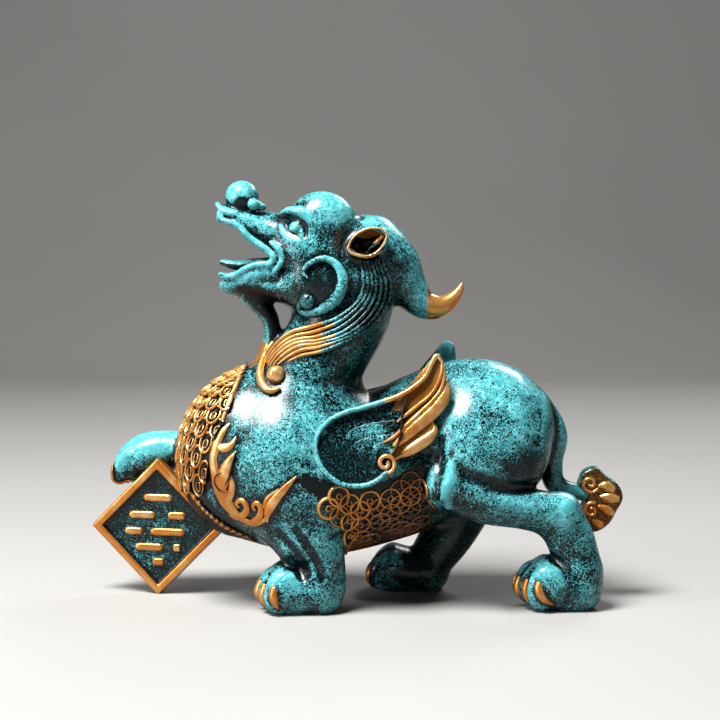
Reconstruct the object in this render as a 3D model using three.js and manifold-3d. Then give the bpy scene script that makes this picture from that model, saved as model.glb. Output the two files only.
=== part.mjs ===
// A pixiu, the winged and horned lion-like beast of East Asia, cast in one piece as a desk ornament.
// It strides towards -X with its head thrown back, and its far forepaw rests on a diamond plaque.
// Millimetres, +Z up. The origin is on the standing surface, at the middle of the figure's box.
import * as THREE from 'three';
import { LoftGeometry } from 'three/addons/geometries/LoftGeometry.js';
import { mergeVertices } from 'three/addons/utils/BufferGeometryUtils.js';
import Module from 'manifold-3d';

const wasm = await Module();
wasm.setup();

// Driving sizes
const figureLength = 224;
const plaqueSide = 41.4;
const plaqueThickness = 6.5;
const plaqueTurn = THREE.MathUtils.degToRad(12);
const frameBar = 3.4;
const fieldDepth = 1.6;
const strokeWidth = 2.2;
const strokeHeight = 1.1;
const standingFlat = 1.6;
const wingThickness = 6;
const wingLean = THREE.MathUtils.degToRad(13);
const reliefHeight = 1.1;

// The beast is free form, so it is drawn at this length and every station is a share of it.
const drawnLength = 224;
const share = figureLength / drawnLength;

// A station of a limb: where its section's centre is, its half width across and its half depth.
function station(x, y, z, halfWide, halfDeep) {
  const centre = new THREE.Vector3(x, y, z).multiplyScalar(share);
  return { centre, size: new THREE.Vector3(halfWide * share, halfDeep * share, 0) };
}

// A closed geometry as a solid that can be joined and cut.
function solidOf(geometry) {
  const bare = new THREE.BufferGeometry();
  bare.setAttribute('position', geometry.getAttribute('position'));
  bare.setIndex(geometry.getIndex());
  const merged = mergeVertices(bare, 1e-4);
  const vertProperties = new Float32Array(merged.attributes.position.array);
  const triVerts = new Uint32Array(merged.index.array);
  return new wasm.Manifold(new wasm.Mesh({ numProp: 3, vertProperties, triVerts }));
}

// A limb: oval sections carried along a smooth path through its stations, with a rounded end where
// startRound or endRound gives that end's length. across is the direction of the half width.
function limb(stations, options = {}) {
  const { rows = 8, sides = 12, startRound = 0, endRound = 0, roundRows = 3 } = options;
  const across = new THREE.Vector3(...(options.across ?? [0, 1, 0]));
  const path = new THREE.CatmullRomCurve3(stations.map((s) => s.centre));
  const girth = new THREE.CatmullRomCurve3(stations.map((s) => s.size));
  const sections = [];
  const addSection = (t, shift, shrink) => {
    const tangent = path.getTangent(t);
    const side = across.clone().addScaledVector(tangent, -across.dot(tangent)).normalize();
    const up = tangent.clone().cross(side);
    const centre = path.getPoint(t).addScaledVector(tangent, shift);
    const size = girth.getPoint(t).multiplyScalar(shrink);
    const ring = [];
    for (let i = 0; i < sides; i += 1) {
      const angle = (i / sides) * 2 * Math.PI;
      const point = centre.clone().addScaledVector(side, size.x * Math.cos(angle));
      ring.push(point.addScaledVector(up, size.y * Math.sin(angle)));
    }
    sections.push(ring);
  };
  const addRoundEnd = (t, reach, order) => {
    for (const i of order) {
      const angle = (i / (roundRows + 0.4)) * (Math.PI / 2);
      addSection(t, reach * share * Math.sin(angle), Math.cos(angle));
    }
  };
  const outward = Array.from({ length: roundRows }, (_, i) => i + 1);
  if (startRound > 0) {
    addRoundEnd(0, -startRound, outward.toReversed());
  }
  for (let i = 0; i <= rows; i += 1) {
    addSection(i / rows, 0, 1);
  }
  if (endRound > 0) {
    addRoundEnd(1, endRound, outward);
  }
  return solidOf(new LoftGeometry(sections, { capStart: true, capEnd: true }));
}

// A rounded lump with its own half sizes along X, Y and Z.
function lump(x, y, z, halfX, halfY, halfZ, around = 10, down = 7) {
  const ball = new THREE.SphereGeometry(1, around, down);
  ball.scale(halfX * share, halfY * share, halfZ * share);
  ball.translate(x * share, y * share, z * share);
  return solidOf(ball);
}

function joined(solids) {
  return solids.reduce((whole, next) => whole.add(next));
}

// Both flanks of a detail that the makeDetail function builds for one side, -1 near and 1 far.
function onBothFlanks(makeDetail) {
  return joined([makeDetail(-1), makeDetail(1)]);
}

// Barrel: deep round chest, belly, narrow waist and high rump, grown outwards where asked.
function barrel(grow = 0) {
  const stations = [
    [-46, 60.5, 32, 35],
    [-30, 58.5, 35, 37],
    [-8, 54.5, 33.5, 34.5],
    [12, 55.5, 29, 30.5],
    [30, 63.5, 26, 31.5],
    [48, 69, 29, 31.5],
    [64, 66.5, 28.5, 28.5],
    [75, 65, 22.5, 22.5],
  ].map(([x, z, halfWide, halfHigh]) => station(x, 0, z, halfWide + grow, halfHigh + grow));
  return limb(stations, { rows: 9, sides: 16, startRound: 28.5 + grow, endRound: 9 });
}

// A prism across the whole figure, with a flat [x, z] outline.
function acrossFigure(outline) {
  const shape = new THREE.Shape(outline.map(([x, z]) => new THREE.Vector2(x * share, -z * share)));
  const width = figureLength;
  const prism = new THREE.ExtrudeGeometry(shape, { depth: width, bevelEnabled: false });
  prism.translate(0, 0, -width / 2);
  prism.rotateX(-Math.PI / 2);
  return solidOf(prism);
}

// Low relief wrapped round the barrel: the chest apron, the belly pad and the flames between them.
function barrelRelief() {
  const apron = [
    [-80, 99], [-47.5, 99], [-49.5, 88.7], [-54, 76.5], [-59, 73], [-62.5, 66], [-64, 56],
    [-61, 46], [-55, 38.5], [-45, 31], [-45, 20], [-80, 20],
  ];
  const bellyPad = [
    [-21, 52.5], [-12, 49], [-2, 47.5], [8, 49], [18, 52], [30, 52.5], [33, 40], [30, 20], [-21, 15],
  ];
  const flames = [
    [-50.7, 78], [-56.7, 73.4], [-59, 62], [-57, 48], [-52, 40.5], [-42.3, 33], [-35.7, 38],
    [-29, 47], [-24, 56.4], [-35, 49.6], [-36.5, 43], [-40.5, 45], [-42.6, 40], [-46, 45.6],
    [-51, 46.5], [-48, 57.5], [-53, 57], [-47.6, 70], [-52.6, 67],
  ];
  const outlines = joined([apron, bellyPad, flames].map(acrossFigure));
  return barrel(reliefHeight / share).intersect(outlines);
}

// Neck: rises from the chest, leaning back, and carries the mane.
function neck() {
  const stations = [
    station(-24, 0, 70, 26, 26),
    station(-20.5, 0, 92, 22, 20),
    station(-12.5, 0, 106, 19.5, 17.6),
    station(-6.5, 0, 119, 19.5, 19),
    station(-3, 0, 134, 18, 18),
  ];
  return limb(stations, { rows: 5, sides: 12 });
}

// Skull: brow domes, cheeks, upper jaw with its round nose, lower jaw and tongue.
function skull() {
  const upperJaw = limb([
    station(-12, 0, 147, 17, 13),
    station(-27, 0, 149.5, 14.5, 11),
    station(-38.5, 0, 153.8, 11, 7.8),
    station(-47, 0, 157.8, 9.5, 5.2),
    station(-54, 0, 161.5, 8, 3.6),
  ], { rows: 4, sides: 10, endRound: 4.5, roundRows: 2 });
  const lowerJaw = limb([
    station(-12, 0, 131, 17, 11),
    station(-30, 0, 131.5, 14, 8.2),
    station(-43, 0, 130, 11, 7.2),
    station(-51, 0, 130.6, 8.5, 5.2),
  ], { rows: 4, sides: 10, endRound: 6.5, roundRows: 2 });
  const tongue = limb([
    station(-30, 0, 137, 7, 3),
    station(-44, 0, 138.5, 6, 2.4),
    station(-54, 0, 140, 4.5, 1.6),
  ], { rows: 2, sides: 6, endRound: 2, roundRows: 1 });
  const nose = joined([
    lump(-47.8, 0, 166.8, 7, 8, 7),
    lump(-56.3, 0, 161.8, 3.2, 7.5, 4.4, 7, 5),
  ]);
  const face = onBothFlanks((side) => joined([
    lump(-14.8, side * 6.5, 155.8, 14.4, 12, 13.6, 10, 6),
    lump(-15.5, side * 8, 134, 15.7, 13, 14.7, 9, 6),
    lump(-25, side * 12.8, 151.6, 6, 5, 6, 7, 5),
    lump(-46, side * 7.2, 164, 4.2, 3.6, 3.6, 6, 4),
  ]));
  return joined([lump(1, 0, 142, 18.4, 19.4, 18.4, 11, 7), upperJaw, lowerJaw, tongue, nose, face]);
}

// Horn: one thick horn that leaves the crown, sweeps down behind the neck and hooks up to a point.
function horn() {
  return limb([
    station(6, 0, 148, 12, 11.4),
    station(15, 0, 140, 10.4, 10.4),
    station(21.3, 0, 129.5, 8, 7.8),
    station(26.8, 0, 123, 6.4, 6.2),
    station(33.6, 0, 122, 5, 4.8),
    station(38.8, 0, 124.8, 3.2, 3.2),
    station(42, 0, 128.8, 1.6, 1.8),
    station(43.4, 0, 132.4, 0.5, 0.5),
  ], { rows: 9, sides: 9, startRound: 8, roundRows: 1 });
}

// Ear: a cup on the side of the skull, hollowed from outside, its point to the front.
function ear(side) {
  const tilted = [0.88, 0, 0.47];
  const cup = limb([
    station(5, side * 11, 146.5, 5, 4),
    station(4.6, side * 18, 147.6, 8.6, 5.6),
    station(4, side * 22.5, 148.3, 9.2, 6.4),
  ], { rows: 2, sides: 8, across: tilted });
  const hollow = limb([
    station(4.6, side * 17.6, 147.6, 3, 2),
    station(4, side * 23.2, 148.3, 7.8, 5.2),
  ], { rows: 1, sides: 8, across: tilted });
  return { cup, hollow };
}

// Beard: one strap that hangs from the chin and joins the chest, clear of the neck.
function beard() {
  return limb([
    station(-44, 0, 128, 8, 7.4),
    station(-40.3, 0, 121.5, 6.5, 5),
    station(-36.6, 0, 116, 5.6, 3.9),
    station(-35.8, 0, 109.6, 5, 3.2),
    station(-39, 0, 102.2, 4.4, 3),
    station(-43, 0, 94, 4, 2.8),
  ], { rows: 7, sides: 6 });
}

// Cheek scroll: a cord that curls round below the eye, thick underneath and thin at its tip.
function cheekScroll(side) {
  const centre = { x: -14.4, z: 130.6 };
  const steps = 7;
  const stations = [];
  for (let i = 0; i <= steps; i += 1) {
    const t = i / steps;
    const angle = THREE.MathUtils.degToRad(140 - 305 * t);
    const reach = 11.2 - 3.2 * t;
    const girth = 1.1 + 1.9 * Math.sin(Math.PI * (0.12 + 0.75 * t));
    const x = centre.x + reach * Math.cos(angle);
    const z = centre.z + reach * Math.sin(angle) - 2.4 * t;
    stations.push(station(x, side * 20.4, z, girth, girth));
  }
  return limb(stations, { rows: 8, sides: 4, startRound: 1.2, endRound: 2, roundRows: 1 });
}

// Mane: locks that fall from behind the ear and sweep forward along the neck to gilded tips. Each
// section is a ribbon from the inner to the outer edge, its outer face ridged once for each lock.
function mane(side) {
  const locks = 5;
  const ridge = 2.4;
  const depth = 5;
  const curveOf = (points) => new THREE.CatmullRomCurve3(
    points.map(([x, y, z]) => new THREE.Vector3(x, side * y, z).multiplyScalar(share)),
  );
  const inner = curveOf([
    [-4, 17, 139], [-8.5, 19.6, 129], [-16.5, 20, 120.5], [-27, 18, 114], [-36.5, 12, 103], [-39.4, 8, 93.5],
  ]);
  const outer = curveOf([
    [9.5, 15, 136], [3, 18.6, 124], [-6, 19.4, 109.5], [-22, 18.6, 102.6], [-30.5, 16, 97.4], [-35, 11, 91.4],
  ]);
  const rows = 6;
  const sections = [];
  for (let i = 0; i <= rows; i += 1) {
    const t = i / rows;
    const a = inner.getPoint(t);
    const b = outer.getPoint(t);
    const swell = 0.35 + 0.65 * Math.sin(Math.PI * Math.min(1, 0.15 + t));
    const ring = [];
    for (let j = 0; j <= 2 * locks; j += 1) {
      const point = a.clone().lerp(b, j / (2 * locks));
      point.y += side * share * (0.6 + (j % 2) * ridge * swell);
      ring.push(point);
    }
    for (const u of [1, 0.5, 0]) {
      const point = a.clone().lerp(b, u);
      point.y -= side * share * depth;
      ring.push(point);
    }
    sections.push(side < 0 ? ring.reverse() : ring);
  }
  const hair = solidOf(new LoftGeometry(sections, { capStart: true, capEnd: true }));
  return hair.add(lump(-31.9, side * 16, 95.4, 3.7, 3, 3.7, 7, 4));
}

// Paw: a rounded foot on a flat sole, with toes across its front, each ending in a claw.
function paw(heel, y, length, halfWide, high) {
  const half = high / 2;
  const flat = high * 0.04;
  const front = heel - length;
  const foot = limb([
    station(heel - length * 0.3, y, half * 0.8 - flat, halfWide * 0.9, half * 0.8 + flat),
    station(heel - length * 0.66, y, half * 0.98 - flat, halfWide, half + flat),
  ], { rows: 1, sides: 10, startRound: length * 0.28, endRound: length * 0.26, roundRows: 2 });
  const toes = 4;
  const solids = [foot];
  for (let i = 0; i < toes; i += 1) {
    const across = (i / (toes - 1)) * 2 - 1;
    const back = length * 0.08 * across * across;
    const toeY = y + across * halfWide * 0.72;
    solids.push(limb([
      station(front + back + length * 0.2, toeY, high * 0.46, halfWide * 0.23, high * 0.34),
      station(front + back + length * 0.08, toeY, high * 0.36, halfWide * 0.21, high * 0.26),
      station(front + back + length * 0.01, toeY, high * 0.14, halfWide * 0.08, high * 0.06),
    ], { rows: 2, sides: 5 }));
  }
  return joined(solids);
}

function nearForeleg() {
  const leg = limb([
    station(-30, -19, 62, 16, 22),
    station(-25, -23.5, 43, 14, 18.5),
    station(-19, -26, 28, 11.5, 13.5),
    station(-15.8, -26, 17, 10.5, 10.2),
    station(-15.4, -26, 11, 10.5, 10.2),
  ], { rows: 4, sides: 9, endRound: 12, roundRows: 2 });
  return leg.add(paw(-5.6, -26, 34.6, 12, 20.4));
}

function nearHindLeg() {
  const thigh = limb([
    station(62, -12, 78, 16, 22),
    station(53, -20, 66, 15, 23.5),
    station(43, -25.5, 54, 11.5, 17.5),
    station(37.5, -27, 50, 9.5, 11.5),
  ], { rows: 3, sides: 9, endRound: 5, roundRows: 1 });
  const shank = limb([
    station(36, -26.5, 51.5, 10, 10.8),
    station(52, -26.5, 45.5, 10, 10),
    station(68, -24.5, 41.5, 9, 8.6),
    station(80, -21.5, 38.5, 9, 8.8),
  ], { rows: 3, sides: 9, startRound: 9, endRound: 8, roundRows: 1 });
  const shin = limb([
    station(81, -21.5, 41, 8.4, 8),
    station(86, -20.5, 28, 9.6, 10.2),
    station(89.4, -20, 16, 10.6, 11),
    station(89, -20, 11, 10.6, 10.6),
  ], { rows: 3, sides: 9, startRound: 4, endRound: 12, roundRows: 2 });
  return joined([thigh, shank, shin, paw(100, -20, 34.4, 12, 21.6)]);
}

function farHindLeg() {
  const leg = limb([
    station(60, 12, 76, 16, 22),
    station(53, 19, 58, 14, 19),
    station(46, 20, 40, 11.5, 14),
    station(38.5, 19, 24, 11, 11.4),
    station(31.5, 18.5, 13, 10.6, 9.6),
    station(30, 18, 10, 10.6, 9.4),
  ], { rows: 5, sides: 9, endRound: 11, roundRows: 2 });
  return leg.add(paw(39.6, 18, 34.8, 12, 19.6));
}

// The plaque stands on one corner, cut to a small flat. Its inner corner is sunk in the chest.
const halfDiagonal = (plaqueSide * Math.SQRT2) / 2;
const plaqueCentreHeight = halfDiagonal - standingFlat / 2;
const innerCornerX = -55.6 * share;
const innerCornerY = 4 * share;
const plaqueX = innerCornerX - halfDiagonal * Math.cos(plaqueTurn);
const plaqueY = innerCornerY + halfDiagonal * Math.sin(plaqueTurn);
const plaqueTop = plaqueCentreHeight + halfDiagonal;

// Rows of shallow strokes that fill the plaque's field: [along, up, length] as shares of the side.
const strokes = [
  [0, 0.3, 0.3],
  [-0.17, 0.12, 0.28],
  [0.2, 0.12, 0.2],
  [-0.26, -0.05, 0.2],
  [0.1, -0.05, 0.36],
  [-0.1, -0.21, 0.3],
  [0.2, -0.21, 0.1],
  [0, -0.36, 0.14],
];

function plaque() {
  const slab = new THREE.BoxGeometry(plaqueSide, plaqueThickness, plaqueSide);
  const fieldSide = plaqueSide - 2 * frameBar;
  const field = new THREE.BoxGeometry(fieldSide, 2 * fieldDepth, fieldSide);
  field.translate(0, -plaqueThickness / 2, 0);
  const quarter = Math.PI / 4;
  slab.rotateY(quarter);
  field.rotateY(quarter);
  let solid = solidOf(slab).subtract(solidOf(field));
  for (const [along, up, length] of strokes) {
    const bar = new THREE.BoxGeometry(length * plaqueSide, 2 * strokeHeight, strokeWidth);
    bar.translate(along * plaqueSide, -plaqueThickness / 2 + fieldDepth, up * plaqueSide);
    solid = solid.add(solidOf(bar));
  }
  const turned = solid.rotate([0, 0, -THREE.MathUtils.radToDeg(plaqueTurn)]);
  return turned.translate([plaqueX, plaqueY, plaqueCentreHeight]);
}

// The raised foreleg reaches out of the far shoulder, and its paw holds the plaque's top corner.
function raisedForeleg() {
  const perch = new THREE.Vector3(plaqueX, plaqueY, plaqueTop).divideScalar(share);
  const leg = limb([
    station(-32, 17, 62, 17, 22),
    station(-48, 21, 58, 14, 16),
    station(-62, 20.5, 58, 10.5, 11),
    station(perch.x + 8, perch.y + 6.5, perch.z + 1.6, 9, 8.4),
    station(perch.x - 5, perch.y + 5, perch.z + 0.6, 10, 9),
    station(perch.x - 11.5, perch.y + 4.6, perch.z - 3, 9.8, 8),
    station(perch.x - 13.2, perch.y + 4.4, perch.z - 7.5, 8.6, 5.4),
  ], { rows: 8, sides: 9, endRound: 4, roundRows: 1 });
  const toes = [-1, -0.33, 0.33, 1].map((across) => limb([
    station(perch.x - 15.2, perch.y + 4.4 + across * 6.6, perch.z - 3.5, 2.6, 3.2),
    station(perch.x - 16.2, perch.y + 4.4 + across * 6.6, perch.z - 8.6, 1.9, 2.3),
    station(perch.x - 14.6, perch.y + 4.4 + across * 6.6, perch.z - 12.4, 0.5, 0.5),
  ], { rows: 2, sides: 5, startRound: 2, roundRows: 1 }));
  return joined([leg, ...toes]);
}

// A flat loop of [x, z] points drawn round as count corners.
function loopOf(points, count) {
  const corners = points.map(([x, z]) => new THREE.Vector2(x, z));
  return new THREE.SplineCurve([...corners, corners[0]]).getPoints(count).slice(0, -1);
}

// A plate on a flank with the loop as its outline and bevelled edges: face(z) is the drawn distance
// of its outer face from the middle plane, and side is -1 near or 1 far.
function plate(loop, middle, side, face, thickness) {
  const ring = (grow, sink) => {
    const points = loop.map((p) => {
      const x = middle.x + (p.x - middle.x) * grow;
      const z = middle.z + (p.y - middle.z) * grow;
      return new THREE.Vector3(x * share, side * (face(z) * share - sink), z * share);
    });
    return side < 0 ? points.reverse() : points;
  };
  const bevel = thickness / 4;
  return solidOf(new LoftGeometry([
    ring(0.93, thickness),
    ring(1, thickness - bevel),
    ring(1, bevel),
    ring(0.93, 0),
  ], { capStart: true, capEnd: true }));
}

// Wing: a leaning shell on the flank with a raised rim, three long feathers and a spiral boss.
// The far wing sits a little further back and higher than the near one.
function wing(side) {
  const backset = side < 0 ? { x: 0, z: 0 } : { x: 6.3, z: 1.8 };
  const outline = [
    [-17.5, 66], [-14.6, 76.5], [-4.7, 81.5], [8, 85], [19.5, 90.8], [27.4, 98.4], [31.7, 104],
    [34.6, 99], [36.3, 89], [32, 79.5], [30.2, 71.5], [18.5, 63], [10.5, 54.8], [-1, 51.4],
    [-12.4, 55],
  ].map(([x, z]) => [x + backset.x, z + backset.z]);
  const middle = { x: 9 + backset.x, z: 78 + backset.z };
  const lean = Math.tan(wingLean);
  const face = (z) => 31.5 - (z - middle.z) * lean;
  const shell = plate(loopOf(outline, 21), middle, side, face, wingThickness);
  const on = (x, z, lift, wide, deep) => (
    station(x + backset.x, side * (face(z + backset.z) + lift), z + backset.z, wide, deep)
  );
  const rim = limb([
    on(-2, 53.4, -0.6, 1.4, 1.4),
    on(-12.4, 56.4, -0.4, 1.6, 1.6),
    on(-16, 66, 0, 1.6, 1.6),
    on(-13, 75.4, 0, 1.6, 1.6),
    on(-4.2, 79.8, 0, 1.6, 1.6),
    on(8, 83.4, 0, 1.6, 1.6),
    on(18.6, 88.6, 0, 1.6, 1.6),
    on(26.6, 96.4, 0, 1.5, 1.5),
    on(31, 102, -0.2, 0.8, 0.8),
  ], { rows: 9, sides: 4 });
  const feathers = [
    [[13, 74], [20, 84], [27.4, 90.5], [32.6, 98]],
    [[11, 68], [20, 74.5], [28.6, 81.5], [34, 90.4]],
    [[10, 62], [17.5, 66.4], [24.5, 70.6], [29.6, 75.5]],
  ].map((line) => limb(
    line.map(([x, z], i) => on(x, z, -0.6, 2.2, [3, 4.6, 4.2, 1][i])),
    { rows: 3, sides: 5 },
  ));
  const boss = limb([
    on(10.4, 61, -3, 3.4, 3.4),
    on(10.4, 61, 1.6, 3, 3),
  ], { rows: 1, sides: 7, across: [1, 0, 0] });
  return joined([shell, rim, boss, ...feathers]);
}

// Tail: lies along the rump, then flicks out into a cloud-shaped tuft with two spiral bosses.
function tail() {
  const strip = limb([
    station(64, 0, 86, 5, 5),
    station(76.5, 0, 79.6, 6, 4.8),
    station(82.4, 0, 68.4, 6, 4.8),
    station(80.6, 0, 57, 6, 4.8),
    station(82.4, 0, 48, 5.6, 4.4),
    station(91, 0, 44.8, 4.6, 3.4),
    station(99, 0, 44, 4, 4),
  ], { rows: 8, sides: 6 });
  const cloud = loopOf([
    [91.4, 48], [94, 53.6], [99.5, 55.4], [103.6, 51.4], [108.6, 48], [110.4, 42.6], [107.6, 37],
    [104.4, 31.4], [98.4, 28.2], [93.6, 32], [93.4, 38.5], [95.4, 42.5],
  ], 19);
  const middle = { x: 100, z: 42 };
  const halfTuft = 4.6;
  const tuft = plate(cloud, middle, -1, () => halfTuft, 2 * halfTuft * share);
  const boss = (x, z, radius, side) => limb([
    station(x, side * (halfTuft - 1), z, radius, radius),
    station(x, side * (halfTuft + 1.4), z, radius * 0.7, radius * 0.7),
  ], { rows: 1, sides: 6, across: [1, 0, 0] });
  const bosses = onBothFlanks((side) => joined([
    boss(96.2, 48.4, 3.6, side),
    boss(96.8, 37.4, 3.2, side),
    boss(104.2, 43, 4.4, side),
  ]));
  return joined([strip, tuft, bosses]);
}

// Everything below the standing surface is cut away flat, which gives the paws their soles.
function belowGround() {
  const slab = new THREE.BoxGeometry(4 * figureLength, 4 * figureLength, figureLength);
  slab.translate(0, 0, -figureLength / 2);
  return solidOf(slab);
}

function casting() {
  const ears = [-1, 1].map(ear);
  const body = joined([
    barrel(),
    barrelRelief(),
    neck(),
    skull(),
    horn(),
    beard(),
    ...ears.map((e) => e.cup),
    onBothFlanks(cheekScroll),
    onBothFlanks(mane),
    onBothFlanks(wing),
    nearForeleg(),
    nearHindLeg(),
    farHindLeg(),
    raisedForeleg(),
    tail(),
    plaque(),
  ]);
  return ears.reduce((whole, e) => whole.subtract(e.hollow), body).subtract(belowGround());
}

// The finished casting as a mesh, moved so that the origin is under the middle of its box.
function castingMesh() {
  const { vertProperties, triVerts } = casting().getMesh();
  const geometry = new THREE.BufferGeometry();
  geometry.setAttribute('position', new THREE.BufferAttribute(vertProperties, 3));
  geometry.setIndex(new THREE.BufferAttribute(triVerts, 1));
  geometry.computeBoundingBox();
  const middle = geometry.boundingBox.getCenter(new THREE.Vector3());
  geometry.translate(-middle.x, -middle.y, 0);
  geometry.computeVertexNormals();
  const patina = new THREE.MeshStandardMaterial({ color: 0x1f8a8c, roughness: 0.38, metalness: 0.25 });
  const mesh = new THREE.Mesh(geometry, patina);
  mesh.name = 'pixiu_figure';
  return mesh;
}

const pixiu = new THREE.Group();
pixiu.add(castingMesh());

export default pixiu;
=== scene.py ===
# %% [markdown]
# # A pixiu ornament in painted resin
# The real object is a desk figure: a winged, horned beast that strides with its head thrown back and
# one forepaw on a diamond plaque. It was modelled in clay, moulded and cast in one piece in resin,
# painted teal, sponged with black, and rubbed with gold on the carving.
# The lesson builds it in the same order: one fused skin for the modelled body, then the carving laid
# on that skin, then the paint.

# %% Load the frame
import math

import bpy
import numpy as np
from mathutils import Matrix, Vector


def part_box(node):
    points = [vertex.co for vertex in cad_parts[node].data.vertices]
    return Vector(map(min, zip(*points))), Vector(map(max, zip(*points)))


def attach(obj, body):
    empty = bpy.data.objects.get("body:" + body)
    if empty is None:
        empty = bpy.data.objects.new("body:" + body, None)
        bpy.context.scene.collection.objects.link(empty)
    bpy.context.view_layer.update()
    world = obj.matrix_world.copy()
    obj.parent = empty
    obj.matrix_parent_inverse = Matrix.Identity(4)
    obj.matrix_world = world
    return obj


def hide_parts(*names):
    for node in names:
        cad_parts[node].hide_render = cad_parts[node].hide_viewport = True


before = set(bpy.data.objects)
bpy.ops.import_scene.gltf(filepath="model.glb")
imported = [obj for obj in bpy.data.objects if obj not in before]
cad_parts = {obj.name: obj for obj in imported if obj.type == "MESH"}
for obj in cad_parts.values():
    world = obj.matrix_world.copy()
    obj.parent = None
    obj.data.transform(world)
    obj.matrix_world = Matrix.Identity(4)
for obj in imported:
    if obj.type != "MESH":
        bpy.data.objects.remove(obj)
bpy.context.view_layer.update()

import openvdb
from mathutils import Vector

low, high = (np.array(corner) * 1000 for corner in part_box("pixiu_figure"))
print("casting, mm:", low.round(1), "to", high.round(1))

# %% [markdown]
# ## Drawing coordinates
# Every form is drawn in millimetres, in the sculptor's own coordinates: -X is the way the beast
# strides, Z is up from the standing surface, and Y is 0 on the middle plane, negative on the near
# flank. The figure could be measured again in the frame, but one known point is enough: the plaque's
# outer corner is the figure's lowest X, so the shift between drawing and frame follows from it.

# %% Plaque sizes and the shift to the frame
plaque_side = 41.4
plaque_thickness = 6.5
plaque_turn = math.radians(12)
frame_bar = 3.4
field_depth = 1.6
standing_flat = 1.6
half_diagonal = plaque_side * math.sqrt(2) / 2
inner_corner = np.array([-55.6, 4.0])
reach = half_diagonal * np.array([math.cos(plaque_turn), -math.sin(plaque_turn)])
plaque_centre = np.array([*(inner_corner - reach), half_diagonal - standing_flat / 2])
plaque_low_x = inner_corner[0] - 2 * reach[0] - plaque_thickness / 2 * math.sin(plaque_turn)
shift = np.array([low[0] - plaque_low_x, 0.0, 0.0])
print("shift, mm:", shift.round(2), "plaque centre:", plaque_centre.round(1))

# %% [markdown]
# ## Curves and swept limbs
# A limb of the clay model is a changing oval carried along a smooth curve. It could be a Blender
# curve with a bevel, but an oval that changes its width and depth apart is easier as a surface with
# two parameters: how far along the path, and the angle round the section.

# %% Smooth curve through points
def through(points, t):
    """Smooth curve through the points at t from 0 to 1. Between two points it is a cubic whose end
    slopes come from the neighbours, weighted by the square roots of the distances."""
    p = np.asarray(points, float)
    p = np.vstack([2 * p[:1] - p[1:2], p, 2 * p[-1:] - p[-2:-1]])
    s = np.clip(np.asarray(t, float), 0, 1) * (len(p) - 3)
    i = np.minimum(s.astype(int), len(p) - 4)
    w = (s - i)[:, None]
    a, b, c, d = p[i], p[i + 1], p[i + 2], p[i + 3]
    root = [np.sqrt(np.linalg.norm(q - r, axis=1, keepdims=True)).clip(1e-3)
            for q, r in ((b, a), (c, b), (d, c))]
    slope_b = ((b - a) / root[0] - (c - a) / (root[0] + root[1]) + (c - b) / root[1]) * root[1]
    slope_c = ((c - b) / root[1] - (d - b) / (root[1] + root[2]) + (d - c) / root[2]) * root[1]
    return (b * (1 + 2 * w) * (1 - w) ** 2 + slope_b * w * (1 - w) ** 2
            + c * w * w * (3 - 2 * w) - slope_c * w * w * (1 - w))


def unit(v):
    return v / np.linalg.norm(v, axis=-1, keepdims=True).clip(1e-9)


# %% Swept limb
def round_angles(count):
    return np.linspace(0, 2 * np.pi, count, endpoint=False)


def oval(angle, square=1.0):
    """Cosine and sine of the angles, each raised to the power square with its sign kept. 1 gives an
    oval and less a boxier one."""
    cos, sin = np.cos(angle), np.sin(angle)
    return np.sign(cos) * np.abs(cos) ** square, np.sign(sin) * np.abs(sin) ** square


def limb(stations, rows=40, sides=40, start=0.0, end=0.0, across=(0, 1, 0), square=1.0):
    """A grid of points, rows along the path by sides round it. Each row is an oval: centre plus
    half width times cosine along the side direction plus half depth times sine along up. A rounded
    end carries the last oval on by end times sine of a, shrunk by cosine of a, as a runs to 90
    degrees. square below 1 makes the oval boxier."""
    s = np.asarray(stations, float)
    a = np.radians(np.linspace(0, 88, 10))[1:]
    front = -start * np.sin(a[::-1]) if start else []
    back = end * np.sin(a) if end else []
    t = np.concatenate([np.zeros(len(front)), np.linspace(0, 1, rows), np.ones(len(back))])
    push = np.concatenate([front, np.zeros(rows), back])[:, None]
    shrink = np.concatenate([np.cos(a[::-1]) if start else [], np.ones(rows),
                             np.cos(a) if end else []])[:, None, None]
    path = through(s[:, :3], t)
    step = 1e-3
    along = unit(through(s[:, :3], t + step) - through(s[:, :3], t - step))
    side = np.broadcast_to(np.asarray(across, float), path.shape)
    side = unit(side - (side * along).sum(1, keepdims=True) * along)
    up = np.cross(along, side)
    size = through(s[:, 3:5], t)[:, :, None, None] * shrink[:, None]
    cos, sin = oval(round_angles(sides)[None, :, None], square)
    centre = (path + along * push)[:, None]
    return centre + side[:, None] * size[:, 0] * cos + up[:, None] * size[:, 1] * sin


def lump(x, y, z, half_x, half_y, half_z, rows=24, sides=32):
    """An ellipsoid as a grid: latitude rows, longitude sides."""
    lat = np.radians(np.linspace(-89, 89, rows))[:, None]
    lon = round_angles(sides)[None]
    ball = np.stack([np.cos(lat) * np.cos(lon), np.cos(lat) * np.sin(lon),
                     np.sin(lat) + 0 * lon], -1)
    return np.array([x, y, z]) + ball * np.array([half_x, half_y, half_z])


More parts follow.
